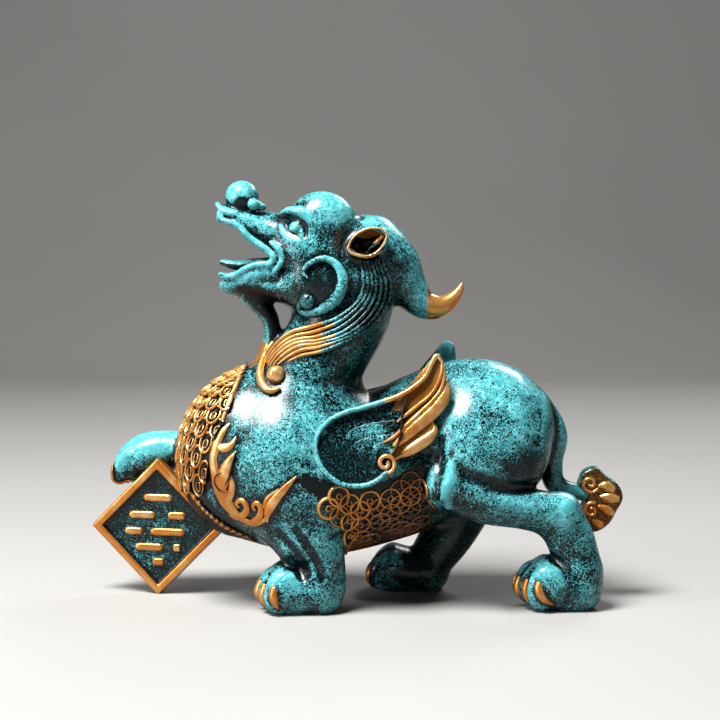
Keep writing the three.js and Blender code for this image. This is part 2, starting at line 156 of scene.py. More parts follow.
# %% Closed mesh from a grid
def closed(grid):
    """Vertices and triangles of a grid that wraps round its sides: two triangles for each cell, and
    a fan from each end row to its middle. Turned if its volume comes out negative."""
    rows, sides, _ = grid.shape
    i = np.arange(rows * sides).reshape(rows, sides)
    a, b = i[:-1], i[1:]
    c, d = np.roll(b, -1, 1), np.roll(a, -1, 1)
    cells = np.concatenate([np.stack([a, b, c], -1).reshape(-1, 3),
                            np.stack([a, c, d], -1).reshape(-1, 3)])
    first, last = rows * sides, rows * sides + 1
    fans = [np.stack([np.full(sides, first), i[0], np.roll(i[0], -1)], -1),
            np.stack([np.full(sides, last), np.roll(i[-1], -1), i[-1]], -1)]
    points = np.vstack([grid.reshape(-1, 3), grid[0].mean(0), grid[-1].mean(0)])
    triangles = np.vstack([cells, *fans])
    p = points[triangles]
    volume = (p[:, 0] * np.cross(p[:, 1], p[:, 2])).sum()
    return points, triangles if volume > 0 else triangles[:, ::-1]

# %% [markdown]
# ## Fusing the limbs into one skin
# In clay, limbs are pressed together and the joins are smoothed over with a thumb. Separate surfaces
# that pass through each other would leave a hard line at every join, and a boolean would too. A
# distance field has no such lines: each surface is turned into a grid of distances, positive
# outside, and two fields are mixed with a soft minimum that leaves a fillet of a chosen width.

# %% The grid of distances
voxel = 0.72
band = 7.0
first = np.floor((low - shift - 9) / voxel).astype(int)
shape = np.ceil((high - low + 18) / voxel).astype(int)
placing = openvdb.createLinearTransform(voxelSize=voxel)
print("grid:", shape, "cells of", voxel, "mm")


def field_of(grid, soft):
    """Distances to a closed surface on the block of the grid around it, and the block's slices. They
    are known as far out as the fillet reaches, or the fillet would end in a step."""
    points, triangles = closed(grid)
    far_out = max(band, soft)
    start = np.maximum(np.floor((points.min(0) - far_out) / voxel).astype(int), first)
    stop = np.minimum(np.ceil((points.max(0) + far_out) / voxel).astype(int), first + shape)
    level = openvdb.FloatGrid.createLevelSetFromPolygons(
        points.astype(np.float32), triangles=triangles.astype(np.uint32),
        transform=placing, halfWidth=far_out / voxel)
    block = np.empty(stop - start, np.float32)
    level.copyToArray(block, ijk=tuple(int(v) for v in start))
    where = tuple(slice(a, b) for a, b in zip(start - first, stop - first))
    return block, where


def press_on(field, grid, soft):
    """Soft minimum: the lesser distance, less h squared times soft over 4, where h falls from 1 to 0
    as the two distances come apart by soft."""
    block, where = field_of(grid, soft)
    old = field[where]
    h = np.clip(1 - np.abs(old - block) / soft, 0, 1)
    field[where] = np.minimum(old, block) - h * h * soft / 4


def carve_out(field, grid, soft):
    """Soft maximum of the field and the cutter's distance turned inside out."""
    block, where = field_of(grid, soft)
    old = field[where]
    h = np.clip(1 - np.abs(old + block) / soft, 0, 1)
    field[where] = np.maximum(old, -block) + h * h * soft / 4


# %% [markdown]
# ## Reading the field anywhere
# The field also serves as a ruler. Between its cells the distance is mixed from the eight nearest,
# its slope gives the direction straight out of the skin, and a point is brought onto the skin by
# stepping back along that slope. Carving can then be drawn flat, as seen from the side or from the
# front, and dropped onto the skin, which is how a sculptor transfers a pattern.

# %% Sampling, slope, dropping onto the skin
def sample(field, points):
    """The field at points in drawing millimetres: a weighted mean of the eight cells around each."""
    g = np.clip(points / voxel - first, 0.01, np.array(field.shape) - 1.01)
    i = g.astype(int)
    w = g - i
    value = 0
    for corner in np.ndindex(2, 2, 2):
        c = np.array(corner)
        share = np.where(c, w, 1 - w).prod(-1)
        j = i + c
        value = value + share * field[j[..., 0], j[..., 1], j[..., 2]]
    return value


def outward(points, field=None):
    """Direction straight out of the skin: the field's rise over one cell along each axis."""
    field = clay if field is None else field
    step = np.eye(3) * voxel
    return unit(np.stack([sample(field, points + s) - sample(field, points - s) for s in step], -1))


def dropped(points, towards, lift=0.0):
    """Points moved along the towards directions until they meet the skin, then lifted off it. Each
    of the steps is nine tenths of the distance read there, so none can pass through."""
    towards = unit(np.broadcast_to(np.asarray(towards, float), points.shape))
    p = points.astype(float)
    for _ in range(60):
        p = p + towards * (0.9 * sample(clay, p))[..., None]
    return p + outward(p) * lift


on_skin_within = 0.4
beside = 60.0


def held_down(points, towards, lift=0.0):
    """Dropped points, leaving out any that find no skin."""
    path = dropped(points, towards)
    found = np.abs(sample(clay, path)) < on_skin_within
    return path[found] + outward(path[found]) * lift, found


def from_near_side(x, z):
    """Points beside the figure on its near side, from which a side view is dropped onto it."""
    return np.stack([x, np.full(len(x), -beside), z], -1)


def skin_cord(points, rows=40, lift=0.0, sides=20):
    """A tube that lies along the near skin, from (x, z, half width): a limb whose centre line is
    dropped onto the skin and lifted by a share of its width."""
    d = through(points, np.linspace(0, 1, rows))
    path, found = held_down(from_near_side(d[:, 0], d[:, 1]), (0, 1, 0))
    wide = d[found, 2:3]
    path = path + outward(path) * wide * lift
    return limb(np.hstack([path, wide, wide]), rows=rows, sides=sides, start=wide[0, 0],
                end=wide[-1, 0], across=(0.1, 0.9, 0.3))


# %% [markdown]
# ## Trunk, neck and legs
# The trunk is one barrel: a deep round chest that ends in a dome, a belly, a waist and a high rump.
# The legs run far up into it, so that the fillets fall where shoulders and haunches are. A paw is a
# high rounded fist on a flat sole, with four toes across its front.

# %% Trunk and neck
clay = np.full(shape, band, np.float32)
barrel = limb([(-46, 0, 60.5, 32, 35), (-30, 0, 58.5, 35, 37), (-8, 0, 54.5, 33.5, 34.5),
               (12, 0, 56, 29, 30), (30, 0, 64.4, 26, 30.6), (48, 0, 69, 29, 31.5),
               (62, 0, 66.5, 29, 29), (71, 0, 65, 23.5, 23.5)],
              rows=90, sides=96, start=28.5, end=6.5)
neck = limb([(-24, 0, 70, 26, 26), (-20.5, 0, 92, 22, 20), (-12.5, 0, 106, 19.5, 17.6),
             (-6.5, 0, 119, 19, 18.6), (-3, 0, 134, 17.5, 17.5)], rows=60, sides=64)
press_on(clay, barrel, 0.5)
bare_barrel = clay.copy()
press_on(clay, neck, 14)


# %% Paws
toes_across = np.array([-1, -0.34, 0.34, 1])


toe_spread = 0.72


def toe_back(across, length, turned):
    """How far behind the paw's front a toe starts: a shallow arc, swung back on the side that the
    paw is turned to, -1 near and 1 far."""
    return length * (0.05 * across ** 2 + 0.05 * (1 + turned * across) - 0.015)


def paw(heel, y, length, half_wide, high, turned):
    """Solids of one paw with their softness: the fist, then toes spread across its front, each bent
    down at the knuckle."""
    half, flat, front = high / 2, high * 0.04, heel - length
    fist = limb([(heel - 0.3 * length, y, 0.8 * half - flat, 0.9 * half_wide, 0.8 * half + flat),
                 (heel - 0.72 * length, y, 1.0 * half - flat, half_wide, 1.04 * half + flat)],
                rows=16, sides=48, start=0.28 * length, end=0.22 * length, square=0.9)
    solids = [(fist, 1.8)]
    for across in toes_across:
        place = (front + toe_back(across, length, turned), y + across * half_wide * toe_spread, 0, 0, 0)
        shares = np.array([(0.30, 0, 0.60, 0.20, 0.28), (0.17, 0, 0.50, 0.24, 0.34),
                           (0.09, 0, 0.34, 0.23, 0.26), (0.07, 0, 0.20, 0.18, 0.18)])
        toe = place + shares * (length, 0, high, half_wide, high)
        solids.append((limb(toe, rows=24, sides=24, start=2, end=2.4), 2.4))
    return solids


# %% Legs
near_fore_paw = (-5.6, -26, 34.6, 12, 20.4, -1)
near_hind_paw = (100, -20, 34.4, 12, 21.6, -1)
far_hind_paw = (39.6, 18, 34.8, 12, 19.6, 1)
near_fore = [(limb([(-30, -19, 62, 16, 22), (-25, -23.5, 43, 14, 18.5), (-19, -26, 28, 11.5, 13.5),
                    (-16.2, -26, 24, 10.8, 10.8), (-15, -26, 19, 10.5, 9.6), (-15.2, -26, 11, 10.5, 10.2)],
                   rows=50, start=16, end=12), 10), *paw(*near_fore_paw)]
near_hind = [(limb([(60, -9, 76, 15, 21), (53, -20, 66, 15, 23.5), (43, -25.5, 54, 11.5, 17.5),
                    (37.5, -27, 50, 9.5, 11.5)], rows=50, start=16, end=5), 9),
             (limb([(36, -26.5, 51.5, 10, 10.8), (52, -26.5, 45.5, 10, 10), (68, -24.5, 41.5, 9, 8.6),
                    (80, -21.5, 38.5, 9, 8.8)], rows=50, start=9, end=8), 2.2),
             (limb([(81, -21.5, 41, 8.4, 8), (86.4, -20.5, 28, 9.6, 9.8), (88.8, -20, 21.6, 10, 9.2),
                    (89.8, -20, 15, 10.6, 10.2), (89, -20, 11, 10.6, 10.6)], rows=50, start=4, end=12), 6),
             *paw(*near_hind_paw)]
far_hind = [(limb([(60, 12, 76, 16, 22), (53, 19, 58, 14, 19), (46, 20, 40, 11.5, 14),
                   (38.5, 19, 24, 11, 11.4), (31.5, 18.5, 13, 10.6, 9.6), (30, 18, 10, 10.6, 9.4)],
                  rows=60, start=16, end=11), 9), *paw(*far_hind_paw)]
perch = np.array([*plaque_centre[:2], plaque_centre[2] + half_diagonal])


def from_perch(x, y, z, half_wide, half_deep):
    return (perch[0] + x, perch[1] + y, perch[2] + z, half_wide, half_deep)


raised_fore = [(limb([(-32, 17, 62, 17, 22), (-48, 21, 58, 14, 16), (-62, 20.5, 58, 10.5, 11),
                      from_perch(8, 10, 1.6, 9, 8.4), from_perch(-5, 9.6, 0.6, 9.6, 9),
                      from_perch(-11.5, 9.2, -3, 9.4, 8), from_perch(-13.2, 9, -7.5, 8.4, 5.4)],
                     rows=70, start=16, end=4), 9)]
raised_toes = [9 + across * 6.4 for across in (-1, -0.33, 0.33, 1)]
raised_fore += [(limb([from_perch(-13.5, y, 1, 2.5, 3.4), from_perch(-16.2, y, -3.5, 2.7, 3.4),
                       from_perch(-16.8, y, -8.6, 2.2, 2.6)], rows=20, sides=20, start=2, end=2), 1.4)
                for y in raised_toes]
tail_strip = limb([(64, 0, 86, 5, 5), (76.5, 0, 79.6, 6, 4.8), (82.4, 0, 68.4, 6, 4.8),
                   (80.6, 0, 57, 6, 4.8), (82.4, 0, 48, 5.6, 4.4), (91, 0, 44.8, 4.6, 3.4),
                   (99, 0, 44, 4, 4)], rows=60, sides=32)
for grid, soft in near_fore + near_hind + far_hind + raised_fore + [(tail_strip, 3)]:
    press_on(clay, grid, soft)
print("limbs pressed on:", len(near_fore + near_hind + far_hind + raised_fore) + 1)

# %% The wing's leaning face
wing_middle = np.array([9.0, 78.0])
wing_out = 31.5
wing_lean = math.tan(math.radians(13))
far_offset = np.array([6.3, 1.8])


def on_wing(flat, lift, far=False):
    """Points standing lift out of the wing's face, from side-view (x, z). The face's distance from
    the middle plane falls with height by the tangent of the lean."""
    out = wing_out - (flat[..., 1] - wing_middle[1]) * wing_lean + lift
    placed = flat + far_offset * far
    return np.stack([placed[..., 0], out if far else -out, placed[..., 1]], -1)


def wing_seat(far):
    """A flat hollow cut in the flank, so that the dish of the wing stays clear of the shoulder."""
    flat = np.array([(-14.5, 66.5), (-8.0, 67.0), (4.0, 69.0), (16.0, 73.0), (27.0, 82.0)])
    high = np.array([[7.0], [11.5], [14.0], [11.0], [6.0]])
    cut_depth = 4.6
    straight_in = (0, 1, 0.23)
    path = on_wing(flat, 1.2, far)
    return limb(np.hstack([path, 0 * high + cut_depth, high]), start=1.5, end=2, across=straight_in,
                square=0.6)


for far in (False, True):
    carve_out(clay, wing_seat(far), 2)

# %% Folds and tendons
haunch_fold = [(37.0, 64.5, 0.5), (41.3, 57.8, 1.1), (46.4, 55.4, 1.4), (52.4, 53.4, 1.6),
               (58.3, 51.6, 1.6), (64.3, 51.0, 1.4), (71.0, 50.6, 0.8)]
thigh_ridge = [(38.6, 64.0, 0.8), (37.6, 58.9, 1.6), (36.2, 52.9, 1.9), (35.4, 48.1, 1.4), (36.0, 44.0, 0.8)]
flank_fold = [(33.2, 70.0, 0.6), (32.8, 62.0, 1.4), (31.4, 54.0, 1.6), (30.4, 47.0, 1.2)]
knee_fold = [(-26.4, 22.4, 0.8), (-23.0, 18.6, 1.0), (-22.6, 15.6, 0.7)]
tendons = [[(-31.0, 33.0, 0.3), (-26.6, 28.2, 0.7), (-22.4, 22.6, 0.8), (-20.0, 17.4, 0.5)],
           [(-24.6, 34.4, 0.3), (-19.6, 27.4, 0.6), (-16.6, 21.9, 0.7), (-14.6, 16.0, 0.4)]]
press_on(clay, skin_cord(thigh_ridge, lift=-0.35), 3)
for line in (haunch_fold, flank_fold, knee_fold, *tendons):
    carve_out(clay, skin_cord(line, lift=0.55), 3)

# %% [markdown]
# ## Head
# The face is that of a roaring beast: two high brow domes with the eyes in front of them, round
# cheeks, a snout that rises to a ball nose over an upturned lip, and a lower jaw with a raised rim
# round the tongue. Each feature is its own small solid, pressed on with a small fillet so that the
# fold beside it stays; pits and the mouth's floor are carved out last.

# %% Skull and jaws
head = [(lump(1, 0, 142, 18, 19, 18), 6),
        (limb([(-12, 0, 147, 17, 13), (-27, 0, 149.5, 14.5, 11), (-38.5, 0, 153.8, 11, 7.8),
               (-47, 0, 157.8, 9.5, 5.2), (-54, 0, 161, 8, 3)], end=3), 5),
        (limb([(-12, 0, 131, 17, 11), (-30, 0, 131, 14, 8.4), (-41.5, 0, 131.4, 11.4, 5.2),
               (-51, 0, 131, 9, 4.6)], end=6.4), 5),
        (lump(-47.8, 0, 167, 7, 8, 7), 0.8),
        (limb([(-50, 0, 160, 8.6, 2.4), (-55, 0, 161, 8, 2), (-57.8, 0, 164, 6, 1.2)],
              rows=24, end=1.4), 1.5)]
for side in (-1, 1):
    head += [(lump(-14.8, side * 6.5, 155.8, 14.4, 12, 13.6), 3),
             (lump(-15.5, side * 8, 134, 15.7, 13, 14.7), 4),
             (lump(-19, side * 9, 145.5, 13, 9.5, 8), 5),
             (lump(-42.6, side * 6.4, 163.9, 2.7, 2.6, 2.5), 0.8),
             (lump(-39.6, side * 5.6, 163.2, 1.6, 1.6, 1.6), 0.8)]
horn = limb([(6, 0, 148, 12, 11.4), (15, 0, 140, 10.4, 10.4), (21.3, 0, 129.5, 8, 7.8),
             (26.8, 0, 123, 6.4, 6.2), (33.6, 0, 122, 5, 4.8), (38.8, 0, 124.8, 3.2, 3.2),
             (42, 0, 128.8, 1.6, 1.8), (43.4, 0, 132.4, 0.5, 0.5)], rows=70, start=8)
head.append((horn, 5))
beard = limb([(-44.6, 0, 128.4, 8, 5.8), (-39.4, 0, 121.5, 6.5, 4.3), (-36.2, 0, 116, 5.6, 3.6),
              (-35.8, 0, 109.6, 4.8, 3.2), (-38.6, 0, 103, 4, 2.8), (-41.6, 0, 97.4, 2.8, 1.9)],
             rows=50, end=1.6)
head.append((beard, 2.5))
for grid, soft in head:
    press_on(clay, grid, soft)

# %% Mouth
def side_limb(side, stations, **shape):
    """A limb on one side of the head, -1 near or 1 far, from stations drawn for the far side."""
    return limb(np.array(stations) * (1, side, 1, 1, 1), **shape)


palate = limb([(-60, 0, 153.2, 6, 4.4), (-48, 0, 150.5, 7.4, 4.6), (-38, 0, 145.5, 8, 4)], rows=30, end=4)
floor_of_mouth = limb([(-57, 0, 140.5, 5.2, 4), (-46, 0, 141.6, 7.6, 4), (-36, 0, 143.4, 8.6, 3.4)],
                      rows=30, end=4)
carve_out(clay, palate, 1.5)
carve_out(clay, floor_of_mouth, 1.2)
tongue = limb([(-34, 0, 139.6, 6.4, 3), (-44, 0, 139.4, 6.2, 2.6), (-51, 0, 139.2, 5.6, 2.0),
               (-55.8, 0, 140.2, 4.6, 1.3)], rows=30, end=1.6)
press_on(clay, tongue, 1)
lip_across = (0.3, 0.9, 0.3)
beside_snout = 40
for side in (-1, 1):
    upper_rim = side_limb(side, [(-57, 4.5, 160.2, 0.9, 0.9), (-55.4, 8.2, 157.8, 1.2, 1.2),
                                 (-49.3, 9.6, 155.4, 1.4, 1.4), (-44.4, 10.4, 150.6, 1.5, 1.5),
                                 (-37.9, 12, 146.2, 1.5, 1.5), (-34, 13, 142.6, 1.6, 1.6),
                                 (-35.4, 12.4, 139.8, 1.4, 1.4)],
                          rows=60, sides=20, start=1, end=1.4, across=lip_across)
    lower_rim = side_limb(side, [(-56.8, 3, 135.4, 1, 1), (-54, 7.6, 134.6, 1.3, 1.3),
                                 (-49.8, 9.6, 135.4, 1.4, 1.4), (-45.5, 10.8, 138, 1.4, 1.4),
                                 (-40, 11.8, 139.6, 1.4, 1.4), (-35.6, 12.4, 139.6, 1.4, 1.4)],
                          rows=60, sides=20, start=1, end=1, across=lip_across)
    jaw_side = side_limb(side, [(-53.4, 4.8, 132.6, 2.0, 2.0), (-49.4, 7.6, 132.8, 2.4, 2.4),
                                (-45.0, 9.0, 134.4, 2.6, 2.8), (-39.6, 10.0, 135.8, 2.8, 3.2),
                                (-33.6, 10.8, 136.4, 2.8, 3.2)],
                         rows=40, sides=24, start=1.4, end=2, across=lip_across)
    press_on(clay, jaw_side, 2)
    fold = side_limb(side, [(-35.2, 13.4, 148.6, 1, 1), (-32, 14.2, 145.6, 1.3, 1.3),
                            (-30.6, 14.2, 141.6, 1.4, 1.4), (-33, 13.4, 137.2, 1, 1)],
                     rows=40, sides=20, start=1, end=1, across=lip_across)
    for grid in (upper_rim, lower_rim, fold):
        press_on(clay, grid, 1.3)
    press_on(clay, lump(-57, side * 3.8, 158.4, 1.3, 1.3, 2, rows=12, sides=16), 0.6)
    for x, z, size in ((-43.8, 156.6, 0.45), (-41.4, 154.2, 0.5), (-39.2, 151.0, 0.65), (-36.8, 149.2, 0.45)):
        line = np.array([(x - size, 0, z + size), (x, 0, z), (x + size, 0, z - 1.6 * size)])
        wrinkle = held_down(line + (0, side * beside_snout, 0), (0, -side, 0))[0]
        width = size * np.array([[0.5], [1.0], [0.5]])
        carve_out(clay, limb(np.hstack([wrinkle, width, width]), rows=12, sides=12), 0.6)

# %% Eyes and ears
for side in (-1, 1):
    socket = side_limb(side, [(-30.4, 12.8, 156.8, 0.4, 0.4), (-27.6, 14.8, 158.2, 0.8, 0.8),
                              (-23.8, 16.2, 157.6, 0.9, 0.9), (-21.2, 17.0, 154.4, 0.8, 0.8),
                              (-21.0, 17.2, 151.8, 0.4, 0.4)], rows=30, sides=20, start=1, end=1)
    carve_out(clay, socket, 1.6)
    press_on(clay, lump(-25.2, side * 13.9, 154.2, 2.8, 2.6, 2.7), 0.5)
    lower_lid = side_limb(side, [(-31.4, 12.0, 155.4, 0.8, 0.8), (-29.4, 14.0, 151.8, 1.3, 1.3),
                                 (-26.2, 15.8, 149.2, 1.5, 1.5), (-21.6, 17.0, 147.4, 1.0, 1.0)],
                          rows=40, sides=20, start=1, end=1, across=(0, 1, 0.2))
    press_on(clay, lower_lid, 1.2)
    brow_ridge = side_limb(side, [(-31.0, 9.0, 160.6, 0.8, 0.8), (-28.0, 12.4, 161.6, 1.4, 1.4),
                                  (-23.6, 15.0, 161.2, 1.5, 1.5), (-18.8, 16.4, 157.8, 0.9, 0.9)],
                           rows=40, sides=20, start=1, end=1, across=(0, 1, 0.2))
    press_on(clay, brow_ridge, 2.6)
    tilted = (0.94, 0, 0.34)
    cup = side_limb(side, [(5, 11, 146.5, 5, 4), (4.6, 18, 147.8, 7.8, 5.2),
                           (3.8, 22.3, 148.8, 8.4, 5.9)], rows=24, across=tilted)
    hollow = side_limb(side, [(4.4, 14.6, 147.8, 2.6, 1.6), (4.4, 18, 148.0, 6, 4.0),
                              (3.8, 23.4, 148.8, 7.7, 5.2)], rows=24, across=tilted)
    press_on(clay, cup, 3)
    carve_out(clay, hollow, 0.8)
    ridge = side_limb(side, [(10.0, 19.8, 151.4, 0.6, 0.6), (7.4, 18.2, 148.6, 1.1, 1.1),
                             (4.4, 17.6, 145.8, 0.7, 0.7)], rows=20, sides=16, start=1, end=1)
    press_on(clay, ridge, 0.8)
print("head modelled")

# %% [markdown]
# ## From distances back to a surface
# The casting is cut off flat where it stands. The surface is drawn where the distance is nought.
# Flat stretches don't need as many faces as the head, so a Decimate modifier thins them.

# %% Flat soles, smoothing, surface
height = (np.arange(shape[2]) + first[2]) * voxel
clay = np.maximum(clay, -height[None, None, :].astype(np.float32))


def softened(field, cells):
    """Running mean over a cube of 2 cells + 1 a side: sums along each axis, taken apart and divided."""
    out = field
    for axis in range(3):
        width = 2 * cells + 1
        pad = [(cells + 1, cells) if k == axis else (0, 0) for k in range(3)]
        total = np.cumsum(np.pad(out, pad, mode="edge"), axis=axis, dtype=np.float64)
        ends = np.take(total, range(width, total.shape[axis]), axis)
        starts = np.take(total, range(total.shape[axis] - width), axis)
        out = ((ends - starts) / width).astype(np.float32)
    return out


level = openvdb.FloatGrid(band)
level.transform = placing
level.copyFromArray(clay, ijk=tuple(int(v) for v in first), tolerance=0.0)
skin_points, skin_quads = level.convertToQuads(0.0)
print("skin:", len(skin_points), "points", len(skin_quads), "quads")

# %% [markdown]
# ## Where the paint gathers and wears
# Black wash stays in hollows, and gold, polish and a painted highlight sit on crests. The field
# tells them apart: its running mean less itself is below nought where the skin is hollow and above
# where it swells. Two widths are used, a fine one for folds and a broad one for whole limbs. A third
# field, how full the space round a point is, marks overhangs and gaps between parts, where black is
# sponged on and shade is painted too.

# %% Hollows and crests as fields
fine = softened(clay, max(1, round(1.1 / voxel))) - clay
broad = softened(softened(clay, round(2.6 / voxel)), round(2.6 / voxel)) - clay
# How full the space round each point is: overhangs and gaps between parts, darkened later partly as painted
# shade.
filled = (clay < 0).astype(np.float32)
for _ in range(2):
    filled = softened(filled, round(6 / voxel))
print("fine from", fine.min().round(2), "to", fine.max().round(2))

# %% [markdown]
# ## Paint
# The real finish is three coats. Teal comes first. Black is then sponged on and wiped back, which
# leaves short crooked specks, thick in the hollows and thin on the crests. Gold is rubbed on the
# carving last, so it is orange where it is thin and black in the cuts; it is paler on crests, partly
# from the rubbing and partly as a painted highlight, and bronze under overhangs, partly as painted
# shade. A picture could hold all this, but procedural nodes that read the piece's place and its own
# attributes work at any distance. The attributes are fold and mass, which tell hollows and thin
# forms from crests and thick ones; a shelter value for overhangs where nobody rubs, which also
# carries painted shade on undersides, low down and on the far legs' inner sides; gilt for gold; and
# an ink value for black ground, which also carries painted shade in the mouth, behind the jaw, under
# the nose and in the hollows of the neck and rump.

# %% Node helper
class Paint:
    """A material and its nodes. Every input is a number, a colour or another node's socket."""

    def __init__(self, name):
        self.material = bpy.data.materials.new(name)
        self.material.use_nodes = True
        self.tree = self.material.node_tree
        self.tree.nodes.clear()
        self.place = self.add("ShaderNodeTexCoord").outputs["Object"]

    def add(self, kind, inputs=None, **settings):
        node = self.tree.nodes.new(kind)
        for key, value in settings.items():
            setattr(node, key, value)
        for key, value in (inputs or {}).items():
            if isinstance(value, bpy.types.NodeSocket):
                self.tree.links.new(value, node.inputs[key])
            else:
                node.inputs[key].default_value = value
        return node

    def noise(self, scale, detail=4.0, roughness=0.55, distortion=0.0):
        inputs = {"Vector": self.place, "Scale": scale, "Detail": detail,
                  "Roughness": roughness, "Distortion": distortion}
        return self.add("ShaderNodeTexNoise", inputs).outputs["Fac"]

    def maths(self, operation, a, b=0.0):
        return self.add("ShaderNodeMath", {0: a, 1: b}, operation=operation).outputs[0]

    def total(self, *terms):
        """The sum of the terms. One that is a pair, a value and its weight, is multiplied first."""
        parts = [self.maths("MULTIPLY", *term) if isinstance(term, tuple) else term for term in terms]
        result = parts[0]
        for part in parts[1:]:
            result = self.maths("ADD", result, part)
        return result

    def step(self, value, start, end, low=0.0, high=1.0):
        """A smooth step from low to high as the value goes from start to end."""
        inputs = {"Value": value, "From Min": start, "From Max": end, "To Min": low, "To Max": high}
        return self.add("ShaderNodeMapRange", inputs, interpolation_type="SMOOTHSTEP").outputs[0]

    def mix(self, share, a, b):
        """Colour a turning to colour b as share goes from 0 to 1."""
        node = self.add("ShaderNodeMix", {0: share, 6: a, 7: b}, data_type="RGBA")
        return node.outputs[2]

    def attribute(self, name):
        return self.add("ShaderNodeAttribute", attribute_name=name).outputs["Fac"]

    def finish(self, bump, depth, **inputs):
        """Joins a principled shader, bumped by that height over that depth in metres, to the output."""
        normal = self.add("ShaderNodeBump", {"Height": bump, "Distance": depth, "Strength": 1.0})
        inputs = {key.replace("_", " "): value for key, value in inputs.items()}
        shader = self.add("ShaderNodeBsdfPrincipled", {"Normal": normal.outputs[0], **inputs})
        output = self.add("ShaderNodeOutputMaterial")
        self.tree.links.new(shader.outputs[0], output.inputs[0])
        return self.material


# %% Shared colours
TEAL = (0.042, 0.225, 0.245, 1)
PALE_TEAL = (0.130, 0.42, 0.45, 1)
DEEP_TEAL = (0.008, 0.060, 0.068, 1)
BLACK = (0.0012, 0.0026, 0.0028, 1)
GOLD = (0.48, 0.225, 0.058, 1)
PALE_GOLD = (0.70, 0.47, 0.225, 1)
BRONZE = (0.44, 0.135, 0.018, 1)


def gold_colour(paint, fold, shelter_and_shade):
    """Gold that is pale on crests, orange-bronze in patches and under overhangs, and black where the
    fold value is low. The pale crests are partly rubbed gold and partly a painted highlight; the
    bronze under overhangs comes from the shelter value and is partly painted shade."""
    # Pale gold on crests: partly rubbed gold, partly a painted highlight.
    pale_crest_and_sheen = paint.total((paint.noise(190, 3), 0.7), (fold, 0.5))
    gold = paint.mix(paint.step(pale_crest_and_sheen, 0.66, 1.02), GOLD, PALE_GOLD)
    # Bronze in random patches, and under overhangs, partly as painted shade.
    bronze_and_shade = paint.total(paint.noise(90, 2), (shelter_and_shade, 0.36))
    gold = paint.mix(paint.step(bronze_and_shade, 0.54, 0.74, 0, 0.85), gold, BRONZE)
    grime = paint.total(fold, (paint.noise(1500, 4, 0.7), 0.5))
    return paint.mix(paint.step(grime, 0.70, 0.42), gold, BLACK)


# %% Teal patina
def teal_patina():
    """Teal sponged with black. The black shows where a crooked fine noise passes a level, and the
    level falls in hollows, in larger patches and where the shelter value is high, which is partly
    painted shade; the same cover turns the teal deep. gilt turns it to gold, and the ink value turns
    it black: black ground, and painted shade in a few places."""
    paint = Paint("teal_patina")
    fold, mass = paint.attribute("fold"), paint.attribute("mass")
    gilt, ink, shelter_and_shade = paint.attribute("gilt"), paint.attribute("ink"), paint.attribute("shelter_and_shade")
    specks = paint.maths("MULTIPLY", paint.noise(560, 5, 0.62, 3.0), 2.6)
    patches = paint.noise(70, 4, 0.62, 0.5)
    thin_form = paint.maths("SUBTRACT", 0.45, mass)
    # More black cover in hollows, on thin forms and under overhangs; the last is partly painted shade.
    cover = paint.total((patches, 0.9), (thin_form, 0.32), (fold, -0.60), (shelter_and_shade, 0.36))
    level = paint.total(specks, paint.maths("MINIMUM", cover, 0.30))
    black = paint.step(level, 1.37, 1.42)
    # Deep teal where the cover is high, partly painted shade.
    wash_and_shade = paint.step(paint.total(paint.noise(240, 5, 0.65, 0.8), cover), 0.55, 1.0)
    teal = paint.mix(paint.step(paint.noise(330, 5, 0.7, 1.0), 0.44, 0.68), TEAL, PALE_TEAL)
    teal = paint.mix(wash_and_shade, teal, DEEP_TEAL)
    colour = paint.mix(black, teal, BLACK)
    rubbed = paint.step(paint.total(gilt, (paint.noise(700, 5, 0.7), 0.5)), 0.68, 0.84)
    colour = paint.mix(rubbed, colour, gold_colour(paint, paint.maths("SUBTRACT", fold, 0.18), shelter_and_shade))
    # Black from the ink value: black ground, and painted shade in the mouth, behind the jaw, under the nose
    # and in the neck and rump hollows.
    inked = paint.step(paint.total(ink, (paint.noise(500, 4, 0.7), 0.4)), 0.6, 0.8)
    colour = paint.mix(inked, colour, BLACK)
    rough = paint.total(paint.step(specks, 0.9, 1.7, 0.17, 0.27), (inked, 0.16))
    metal = paint.maths("MULTIPLY", rubbed, paint.maths("SUBTRACT", 0.68, inked))
    return paint.finish(specks, 0.000018, Base_Color=colour, Roughness=rough, Metallic=metal, IOR=1.33)


# %% Gold over black
def rubbed_gold():
    """Gold on raised carving: fold is 1 on top and 0 at the foot, where the black ground shows."""
    paint = Paint("rubbed_gold")
    shelter_and_shade = paint.attribute("shelter_and_shade")
    # Less gold and more black where the shelter value is high, which is partly painted shade.
    crest = paint.total(paint.attribute("fold"), (shelter_and_shade, -0.45))
    dabs = paint.noise(900, 5, 0.7, 0.6)
    colour = gold_colour(paint, crest, shelter_and_shade)
    rough = paint.step(dabs, 0.3, 0.7, 0.24, 0.40)
    metal = paint.step(crest, 0.1, 0.5, 0.1, 0.75)
    return paint.finish(dabs, 0.00004, Base_Color=colour, Roughness=rough, Metallic=metal, IOR=1.4)


teal, gold = teal_patina(), rubbed_gold()
print("paints:", teal.name, gold.name)

# %% [markdown]
# ## Measures that the paint reads
# Every point of every piece is measured once against the fields: in a fold or on a crest, on a thick
# or a thin form, and how sheltered it is, which also carries painted shade.

# %% Fold, mass, shelter and painted shade
def between(value, start, end):
    """Smooth step of an array from 0 at start to 1 at end."""
    t = np.clip((value - start) / (end - start), 0, 1)
    return t * t * (3 - 2 * t)


def spot(points, x, z, reach_x, reach_z):
    """1 at x and z as seen from the side, falling off as a bell over the two reaches."""
    return np.exp(-((points[:, 0] - x) / reach_x) ** 2 - ((points[:, 2] - z) / reach_z) ** 2)


above_skin = 7
belly_height = 52


